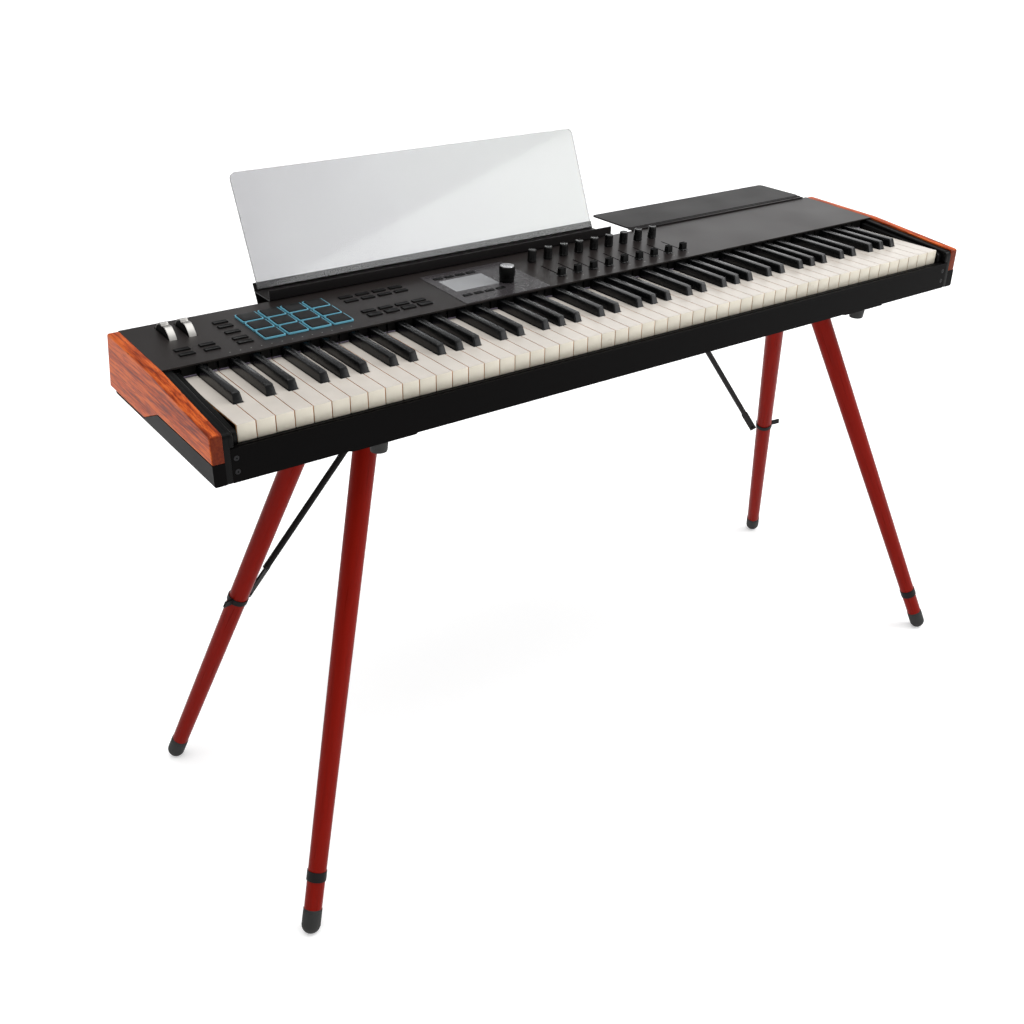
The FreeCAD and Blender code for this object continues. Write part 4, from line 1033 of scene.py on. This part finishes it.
class KEYBOARD_OT_knobs(bpy.types.Operator):
    """Builds the nine knobs and the main encoder with its metal cap"""
    bl_idname = "stage_keyboard.knobs"
    bl_label = "Knobs"

    def execute(self, context):
        depth = mm(look("controls").rib_depth)
        for number in range(1, 10):
            node = "knob_%d" % number
            low, high = panel_boxes(node)[0]
            piece(node + "_grip", node, [node],
                  knob_shape(low, high, 18, depth))
        low, high = panel_boxes("encoder_knob")[0]
        middle = (low + high) / 2
        radius = (high[0] - low[0]) / 2
        top = high[2]
        profile = [(radius - 1.2, 1.4), (radius - 0.8, 1.8), (radius - 0.8, 8.6),
                   (radius - 0.2, 9.4), (radius, 10.2), (radius, top - 1.2),
                   (radius - 0.3, top - 0.5), (radius - 0.9, top), (radius - 1.5, top - 0.1),
                   (radius - 1.7, top - 1.0), (0.5, top - 1.1)]
        rings = ribbed(profile, 36, depth * 0.8, 4, 6, 144)
        offset = (middle[0], middle[1], 0)
        shaft = stack(turned([(3.0, low[2]), (3.0, 2.0)], 24))
        piece("encoder_grip", "encoder", ["encoder_knob"],
              [(laid(moved(stack(rings), offset)), "control"),
               (laid(moved(shaft, offset)), "steel")])
        low, high = panel_boxes("encoder_cap")[0]
        radius = (high[0] - low[0]) / 2
        top = high[2]
        cap = [(radius - 0.2, low[2] + 0.2), (radius - 0.2, top - 0.7), (radius - 0.5, top - 0.2),
               (radius - 1.0, top), (radius - 2.2, top - 0.15), (radius - 6.0, top - 0.6),
               (0.3, top - 0.75)]
        piece("encoder_metal_cap", "encoder", ["encoder_cap"],
              [(laid(moved(stack(turned(cap, 96)), offset)), "cap")])
        return {"FINISHED"}


def fader_shapes(points):
    """A tall cap with a hollow top and a notched front, on a flared foot and a thin lever."""
    low, high = extent(off_panel(points))
    base = 0.8
    foot = 1.4
    flare = 0.75
    x0, x1 = low[0] + flare, high[0] - flare
    v0, v1 = low[1] + flare, high[1] - flare
    top = high[2]
    middle = (v0 + v1) / 2
    angle = np.linspace(math.radians(228), math.radians(312), 9)
    hollow = np.column_stack([middle + 0.2 + 4.0 * np.cos(angle),
                              top + 3.0 + 4.0 * np.sin(angle)])
    side = np.concatenate([[(v0, base), (v0 + 0.5, base + foot + 0.8), (v0 + 1.3, top - 0.6),
                            (v0 + 1.6, top)], hollow,
                           [(v1 - 1.1, top), (v1 - 0.8, top - 0.6),
                            (v1 - 0.3, base + foot + 0.8), (v1, base)]])
    cap = swap(block(outline(side, np.zeros(len(side))),
                     edge_levels(x0 + 0.2, x1 - 0.2, 0.5, 0.5, 3)), [2, 0, 1])
    plate = block(rectangle(low[0], high[0], low[1], high[1], 1.2, 4),
                  edge_levels(base, base + foot, 0.2, 0.7, 3))
    centre = (x0 + x1) / 2
    lever = block(rectangle(centre - 0.7, centre + 0.7, middle - 3, middle + 3, 0.3, 1),
                  edge_levels(low[2], base + 0.5, 0.1, 0.1, 1))
    nib = block(rectangle(centre - 0.8, centre + 0.8, low[1] - 0.1, v0 + 1.2, 0.4, 2),
                edge_levels(base + foot - 0.3, base + foot + 1.4, 0.1, 0.5, 2))
    return [(laid(cap), "control"), (laid(plate), "gloss"), (laid(lever), "steel"),
            (laid(nib), "gloss")]


class KEYBOARD_OT_faders(bpy.types.Operator):
    """Builds the three banks of fader caps"""
    bl_idname = "stage_keyboard.faders"
    bl_label = "Faders"

    def execute(self, context):
        for bank in ("left", "middle", "right"):
            node = "faders_" + bank
            shapes = [s for points in solids(node) for s in fader_shapes(points)]
            piece(node + "_caps", node, [node], shapes)
        return {"FINISHED"}


def wheel_shapes(points):
    """A tread whose radius falls slowly towards a finger notch and rises again at a steep
    wall behind it, over two plain sides."""
    low, high = extent(off_panel(points))
    middle = (low + high) / 2
    radius = (high[1] - low[1]) / 2
    x0, x1 = low[0], high[0]
    angle = np.linspace(0, 2 * math.pi, 240, endpoint=False)
    notch_start, notch_end, wall = np.radians([112.0, 88.0, 3.5])
    falling = np.clip((notch_start - angle) / (notch_start - notch_end), 0, 1)
    rising = np.clip((angle - notch_end + wall) / wall, 0, 1)
    dip = 3.2 * falling ** 1.3 * rising

    def hoops(rows):
        out = []
        for x, r, share in rows:
            reach = r - dip * share
            out.append(np.stack([np.full(len(angle), x), middle[1] + reach * np.cos(angle),
                                 middle[2] + reach * np.sin(angle)], -1))
        return out
    tread = hoops([(x0 + 0.8, radius - 3.5, 1), (x0 + 0.1, radius - 0.9, 1),
                   (x0 + 0.15, radius - 0.25, 1), (x0 + 0.5, radius, 1), (x1 - 0.5, radius, 1),
                   (x1 - 0.15, radius - 0.25, 1), (x1 - 0.1, radius - 0.9, 1),
                   (x1 - 0.8, radius - 3.5, 1)])
    sides = hoops([(x0, 3.0, 0), (x0, radius - 2.2, 0.6), (x0 + 0.5, radius - 1.6, 1),
                   (x1 - 0.5, radius - 1.6, 1), (x1, radius - 2.2, 0.6), (x1, 3.0, 0)])
    return [(laid(stack(tread)), "tread"), (laid(stack(sides, True)), "control")]


class KEYBOARD_OT_wheels(bpy.types.Operator):
    """Builds the pitch wheel and the modulation wheel"""
    bl_idname = "stage_keyboard.wheels"
    bl_label = "Wheels"

    def execute(self, context):
        for node in ("pitch_wheel", "mod_wheel"):
            piece(node + "_tread", node, [node],
                  wheel_shapes(solids(node)[0]))
        return {"FINISHED"}


class KEYBOARD_OT_screen(bpy.types.Operator):
    """Builds the display cover and the printed dots of the panel"""
    bl_idname = "stage_keyboard.screen"
    bl_label = "Screen and marks"

    def execute(self, context):
        low, high = panel_boxes("screen")[0]
        ring = rectangle(low[0], high[0], low[1], high[1], 0.8, 3)
        cover = laid(block(ring, edge_levels(low[2], high[2], 0.1, 0.25, 3)))
        piece("display_cover_glass", "case", ["screen"], [(cover, "screen")])
        dots = [(-543.2 + 13.94 * i, 10.8) for i in range(13)]
        for number in range(1, 10):
            low, high = panel_boxes("knob_%d" % number)[0]
            dots.append(((low[0] + high[0]) / 2, 16.8))
        disc = [(0.7, -0.3), (0.9, 0.04), (0.75, 0.09), (0.2, 0.1)]
        shapes = [(laid(moved(stack(turned(disc, 16)), (x, v, 0))), "mark") for x, v in dots]
        piece("panel_dots", "case", [], shapes)
        return {"FINISHED"}


# ------------------------------------------------------------------ music rest and shelf
def folded_sheet(corners, radii, x0, x1, edge=0.5):
    """A bent sheet: its thick outline in (y, z) carried along X."""
    return swap(block(outline(corners, radii, 4), edge_levels(x0, x1, edge, edge, 2)),
                [2, 0, 1])


class KEYBOARD_OT_music_rest(bpy.types.Operator):
    """Builds the bent metal ledge and the clear sheet that stands in it"""
    bl_idname = "stage_keyboard.music_rest"
    bl_label = "Music rest"

    def execute(self, context):
        low, high = extent(solids("music_rest_rail")[0])
        x0, x1 = low[0], high[0]
        lip = low[1]
        ledge = PANEL_Z + PANEL_RISE + 0.3
        sheet = 2.0
        rear = lip + 47.0
        lip_top = ledge + 15.0
        bent = folded_sheet([(lip, lip_top), (lip, ledge), (rear, ledge), (rear, ledge + sheet),
                             (lip + sheet, ledge + sheet), (lip + sheet, lip_top)],
                            [0.9, 2.2, 0, 0, 0.6, 0.9], x0, x1)
        lean = math.radians(23.0)
        up = np.array([math.sin(lean), math.cos(lean)])
        back = np.array([up[1], -up[0]])
        corner = np.array([rear, ledge])
        bottom = corner - up * 30.0
        top = corner + up * 13.5
        flange = folded_sheet([top, bottom, bottom + back * sheet, top + back * sheet],
                              [0.9, 0.9, 0.9, 0.9], x0, x1)
        shapes = [(bent, "bracket"), (flange, "bracket")]
        rail_points = solids("music_rest_rail")[0]
        foot = rail_points[:, 2].min()
        rib_points = rail_points[rail_points[:, 2] < foot + 0.01]
        wall = rib_points[:, 1]
        ribs = np.unique(np.round(rib_points[:, 0], 1))
        lean_y = rail_points[(np.abs(rail_points[:, 2] - ledge) < 0.6)
                             & (rail_points[:, 1] > lip + 2.5)][:, 1].min()
        for start_x in ribs[::2]:
            shapes.append((folded_sheet(
                [(lean_y, ledge), (wall.min(), foot), (wall.max(), foot), (rear - 4, ledge)],
                [0.2, 0.5, 0.5, 0.2], start_x, start_x + 3.0), "bracket"))
        piece("music_rest_ledge", "music_rest", ["music_rest_rail"], shapes)

        points = solids("music_rest_sheet")[0]
        low, high = extent(points)
        thick = 4.0
        tall = (points @ np.array([0, up[0], up[1]]))
        span = tall.max() - tall.min()
        start_point = points[np.argmin(tall)]
        across = np.array([0.0, back[0], back[1]])
        depth = (points @ across).min()
        ring = outline([(low[0], 0), (high[0], 0), (high[0], span), (low[0], span)],
                       [1.0, 1.0, 9.0, 9.0], 8)
        flat, faces = block(ring, edge_levels(0, thick, 0.5, 0.5, 3))
        origin = np.array([0.0, start_point[1], start_point[2]])
        origin = origin + across * (depth - origin @ across)
        rise = np.array([0.0, up[0], up[1]])
        spot = (flat[:, :1] * np.array([1.0, 0, 0]) + flat[:, 1:2] * rise
                + flat[:, 2:] * across + origin)
        piece("music_rest_clear_sheet", "music_rest", ["music_rest_sheet"],
              [((spot, faces), "acrylic")])
        return {"FINISHED"}


class KEYBOARD_OT_shelf(bpy.types.Operator):
    """Builds the laptop shelf and its ridged hook strip"""
    bl_idname = "stage_keyboard.shelf"
    bl_label = "Shelf"

    def execute(self, context):
        points = solids("shelf_plate")[0]
        low, high = extent(points)
        x0, x1 = low[0], high[0]
        front = low[1]
        rear = high[1]
        top = high[2]
        base = PANEL_Z + PANEL_RISE + 0.3
        plate = block(rectangle(x0, x1, front + 10.5, rear, 7.0, 8),
                      edge_levels(top - 2.4, top, 0.8, 0.8, 4))
        strip = folded_sheet([(front, base), (front + 12, base), (front + 12, top - 0.7),
                              (front + 7.5, top - 0.7), (front + 6.4, top - 2.0),
                              (front + 5.2, top - 2.0), (front + 4.2, top - 1.2),
                              (front + 0.5, top - 1.2)],
                             [0.8, 0.3, 0.3, 0.5, 0.3, 0.3, 0.5, 0.8], x0, x1)
        shapes = [(plate, "bracket"), (strip, "bracket")]
        foot = low[2]
        rib_points = points[points[:, 2] < foot + 0.01]
        ribs = np.unique(np.round(rib_points[:, 0], 1))
        wall = rib_points[:, 1]
        for start_x in ribs[::2]:
            shapes.append((folded_sheet(
                [(front + 4.6, top - 2), (wall.min(), foot), (wall.max(), foot),
                 (front + 23, top - 2)], [0.2, 0.5, 0.5, 0.2], start_x, start_x + 3.0), "bracket"))
        fold = folded_sheet([(front + 20.6, 0.0), (front + 22.6, 0.0),
                             (front + 22.6, top - 1), (front + 20.6, top - 1)],
                            [0.9, 0.9, 0.2, 0.2], x0 + 20, x1 - 20)
        shapes.append((fold, "bracket"))
        piece("laptop_shelf", "shelf", ["shelf_plate"], shapes)
        return {"FINISHED"}


# ------------------------------------------------------------------ legs
def round_bar(start_point, axis, rows, sides=48, flat_start=False, floor=None):
    """Circles of (distance, radius) along an axis.  The first may be slanted to lie level,
    and nothing goes below the floor.  Also returns the points before they are placed."""
    frame_axes = axes_of(axis)
    rows = np.asarray(rows, float)
    rings = turned(rows[:, ::-1], sides)
    if flat_start:
        tilt = rings[0] @ frame_axes
        rings[0, :, 2] -= (tilt[:, 2] - rows[0, 0] * frame_axes[2, 2]) / frame_axes[2, 2]
    local = rings.reshape(-1, 3).copy()
    world = rings @ frame_axes + start_point
    if floor is not None:
        world[..., 2] = np.maximum(world[..., 2], floor)
    return stack(world), local


def leg_lines():
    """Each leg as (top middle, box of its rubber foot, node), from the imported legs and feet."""
    feet = [extent(p) for p in solids("rubber_feet")]
    lines = []
    for node in ("front_legs", "rear_legs"):
        for points in solids(node):
            top = points[points[:, 2] > points[:, 2].max() - 0.01]
            low, high = extent(top)
            middle = (low + high) / 2
            end = points[points[:, 2] < points[:, 2].min() + 3]
            near = end.mean(0)
            foot = min(feet, key=lambda f: np.linalg.norm((f[0] + f[1])[:2] / 2 - near[:2]))
            lines.append((middle, foot, node))
    return lines


class KEYBOARD_OT_legs(bpy.types.Operator):
    """Builds the tapered wooden legs, their rubber feet and the feet of the case"""
    bl_idname = "stage_keyboard.legs"
    bl_label = "Legs"

    def execute(self, context):
        foot_radius = 12.6
        flat = 0.6
        floor = -KEY_TOP / MM
        grouped = {"front_legs": ([], []), "rear_legs": ([], [])}
        feet = []
        for top, (low, high), node in leg_lines():
            inner = np.array([top[0], top[1], top[2]])
            bottoms = [p for p in solids("rubber_feet")
                       if np.allclose(extent(p)[0], low, atol=0.01)][0]
            touch = bottoms[bottoms[:, 2] < floor + 0.01]
            middle = (touch.min(0) + touch.max(0)) / 2
            end = np.array([middle[0], middle[1], floor + foot_radius - flat])
            axis = end - inner
            run = np.linalg.norm(axis)
            slope = (16.0 - 11.7) / run
            rows = [(0, 16.0)] + [(d, 16.0 - slope * d) for d in np.linspace(20, run - 16, 12)]
            bar, local = round_bar(inner, axis, rows, 56, True)
            grouped[node][0].append((bar, "leg"))
            grouped[node][1].append(local)
            start_at = run - 35.0 + foot_radius
            angle = np.linspace(0, math.pi / 2, 10)[:-1]
            cup = [(start_at - 0.0, 11.9), (start_at + 0.3, 12.3), (start_at + 0.9, 12.55),
                   (start_at + 3.2, 12.6), (start_at + 3.6, 12.3), (start_at + 4.2, 12.3),
                   (start_at + 4.6, 12.6)]
            dome = [(run + foot_radius * math.sin(a), foot_radius * math.cos(a)) for a in angle]
            rubber, _ = round_bar(inner, axis, cup + dome, 56, False, floor)
            feet.append((rubber, "rubber"))
        for node, (shapes, local) in grouped.items():
            piece(node + "_turned", "case", [node], shapes, local=local)
        piece("leg_rubber_feet", "case", ["rubber_feet"], feet)
        shapes = []
        for points in solids("body_feet"):
            low, high = extent(points)
            middle = (low + high) / 2
            radius = (high[0] - low[0]) / 2
            profile = [(radius - 3.6, low[2] + 0.1), (radius - 3.0, low[2]),
                       (radius - 2.2, low[2] + 0.3), (radius - 1.9, low[2] + 1.2),
                       (radius - 0.3, high[2] - 1.0), (radius, high[2] - 0.3),
                       (radius - 0.1, high[2])]
            foot = stack(turned(profile, 40))
            shapes.append((moved(foot, (middle[0], middle[1], 0)), "rubber"))
        piece("case_rubber_feet", "case", ["body_feet"], shapes)
        return {"FINISHED"}


# ------------------------------------------------------------------ stage
def flat_sheet(name, size, height):
    """A square grid in the XY plane."""
    steps = np.linspace(-size / 2, size / 2, 9)
    x, y = np.meshgrid(steps, steps, indexing="ij")
    points = np.stack([x, y, np.full_like(x, height)], -1).reshape(-1, 3)
    i, j = np.meshgrid(np.arange(8), np.arange(8), indexing="ij")
    corner = (i * 9 + j).ravel()
    faces = np.stack([corner, corner + 9, corner + 10, corner + 1], -1)
    mesh = bpy.data.meshes.new(name)
    mesh.from_pydata(points.tolist(), [], faces.tolist())
    made = bpy.data.objects.new(name, mesh)
    bpy.context.scene.collection.objects.link(made)
    return made


def aimed(direction, roll=0.0):
    """A turn whose -Z looks along a direction, leaning by roll."""
    f = np.asarray(direction, float) / np.linalg.norm(direction)
    r = np.cross(f, [0, 0, 1])
    r /= np.linalg.norm(r)
    u = np.cross(r, f)
    leaned = r * math.cos(roll) + u * math.sin(roll)
    u = np.cross(leaned, f)
    return np.stack([leaned, u, -f], 1)


def soft_box(name, spot, target, width, height, power, tint=(1, 1, 1)):
    light = bpy.data.lights.new(name, "AREA")
    light.shape = "RECTANGLE"
    light.size = width
    light.size_y = height
    light.energy = power
    light.color = tint
    made = bpy.data.objects.new(name, light)
    bpy.context.scene.collection.objects.link(made)
    turn = aimed(np.array(target) - np.array(spot))
    matrix = Matrix(turn.tolist()).to_4x4()
    matrix.translation = spot
    made.matrix_world = matrix
    return made


class KEYBOARD_OT_stage(bpy.types.Operator):
    """Sets the floor, the lights and the camera"""
    bl_idname = "stage_keyboard.stage"
    bl_label = "Stage"

    def execute(self, context):
        settings = look("stage")
        scene = context.scene
        floor = flat_sheet("studio_floor", 60.0, 0.0)
        material, tree, shader = start("backlit_white_sweep", colour=settings.floor,
                                       roughness=0.9, specular=0.0, emission=(1, 1, 1),
                                       emission_strength=0.42)
        floor.data.materials.append(material)

        world = bpy.data.worlds.new("studio_dome")
        world.use_nodes = True
        scene.world = world
        tree = world.node_tree
        background = tree.nodes["Background"]
        background.inputs["Color"].default_value = (1, 1, 1, 1)
        direction = add(tree, "ShaderNodeTexCoord").outputs["Generated"]
        height = add(tree, "ShaderNodeSeparateXYZ", None, {"Vector": direction}).outputs["Z"]
        glow = add(tree, "ShaderNodeMapRange",
                   {"interpolation_type": "SMOOTHSTEP", "From Min": 0.70, "From Max": 0.95,
                    "To Min": settings.sky, "To Max": settings.dome}, {"Value": height})
        horizon = add(tree, "ShaderNodeMapRange",
                      {"interpolation_type": "SMOOTHSTEP", "From Min": 0.14,
                       "From Max": 0.26, "To Min": 1.0, "To Max": 0.0}, {"Value": height})
        both = add(tree, "ShaderNodeMath", {"operation": "MAXIMUM"},
                   {0: glow.outputs["Result"], 1: horizon.outputs["Result"]})
        tree.links.new(both.outputs[0], background.inputs["Strength"])

        soft_box("key_light", (2.4, -1.2, 2.6), (0, 0, 0.5), 1.4, 1.4, 42)
        soft_box("rear_light", (3.2, 3.6, 1.9), (0, 0.1, 0.7), 4.6, 1.8, 22)
        soft_box("front_light", (2.4, -3.0, 1.9), (0, 0, 0.7), 2.4, 1.5, 20)

        scene.view_settings.view_transform = "Standard"
        scene.view_settings.exposure = 0.0

        camera = bpy.data.cameras.new("studio_camera")
        camera.lens = settings.lens
        camera.sensor_width = 36.0
        camera.clip_end = 100
        made = bpy.data.objects.new("studio_camera", camera)
        scene.collection.objects.link(made)
        low = math.cos(settings.elevation)
        direction = np.array([math.sin(settings.azimuth) * low,
                              math.cos(settings.azimuth) * low, -math.sin(settings.elevation)])
        target = placed([-71.35, 229.74, -380.29])
        matrix = Matrix(aimed(direction, settings.roll).tolist()).to_4x4()
        matrix.translation = (target - direction * settings.distance).tolist()
        made.matrix_world = matrix
        scene.camera = made
        return {"FINISHED"}


# ------------------------------------------------------------------ add-on
GROUPS = {"keys": KeyLook, "case": CaseLook, "controls": ControlLook, "stage": StageLook}
OPERATORS = (
    KEYBOARD_OT_white_keys, KEYBOARD_OT_black_keys, KEYBOARD_OT_cheeks,
    KEYBOARD_OT_end_blocks, KEYBOARD_OT_finishes, KEYBOARD_OT_buttons, KEYBOARD_OT_pads,
    KEYBOARD_OT_knobs, KEYBOARD_OT_faders, KEYBOARD_OT_wheels, KEYBOARD_OT_screen,
    KEYBOARD_OT_music_rest, KEYBOARD_OT_shelf, KEYBOARD_OT_legs, KEYBOARD_OT_stage,
)


class KEYBOARD_PT_panel(bpy.types.Panel):
    """Lists the operators and their settings"""
    bl_label = "Stage keyboard"
    bl_idname = "KEYBOARD_PT_panel"
    bl_space_type = "VIEW_3D"
    bl_region_type = "UI"
    bl_category = "Keyboard"

    def draw(self, context):
        for operator in OPERATORS:
            self.layout.operator(operator.bl_idname)
        for group, kind in GROUPS.items():
            box = self.layout.box()
            box.label(text=group.capitalize())
            for name in kind.__annotations__:
                box.prop(look(group), name)


def register():
    for kind in (*GROUPS.values(), *OPERATORS, KEYBOARD_PT_panel):
        bpy.utils.register_class(kind)
    for name, kind in GROUPS.items():
        setattr(bpy.types.Scene, "stage_keyboard_" + name,
                bpy.props.PointerProperty(type=kind))


def unregister():
    for name in GROUPS:
        delattr(bpy.types.Scene, "stage_keyboard_" + name)
    for kind in (KEYBOARD_PT_panel, *reversed(OPERATORS), *reversed(list(GROUPS.values()))):
        bpy.utils.unregister_class(kind)


def main():
    register()
    for operator in OPERATORS:
        group, name = operator.bl_idname.split(".")
        getattr(getattr(bpy.ops, group), name)()


if __name__ == "__main__":
    main()
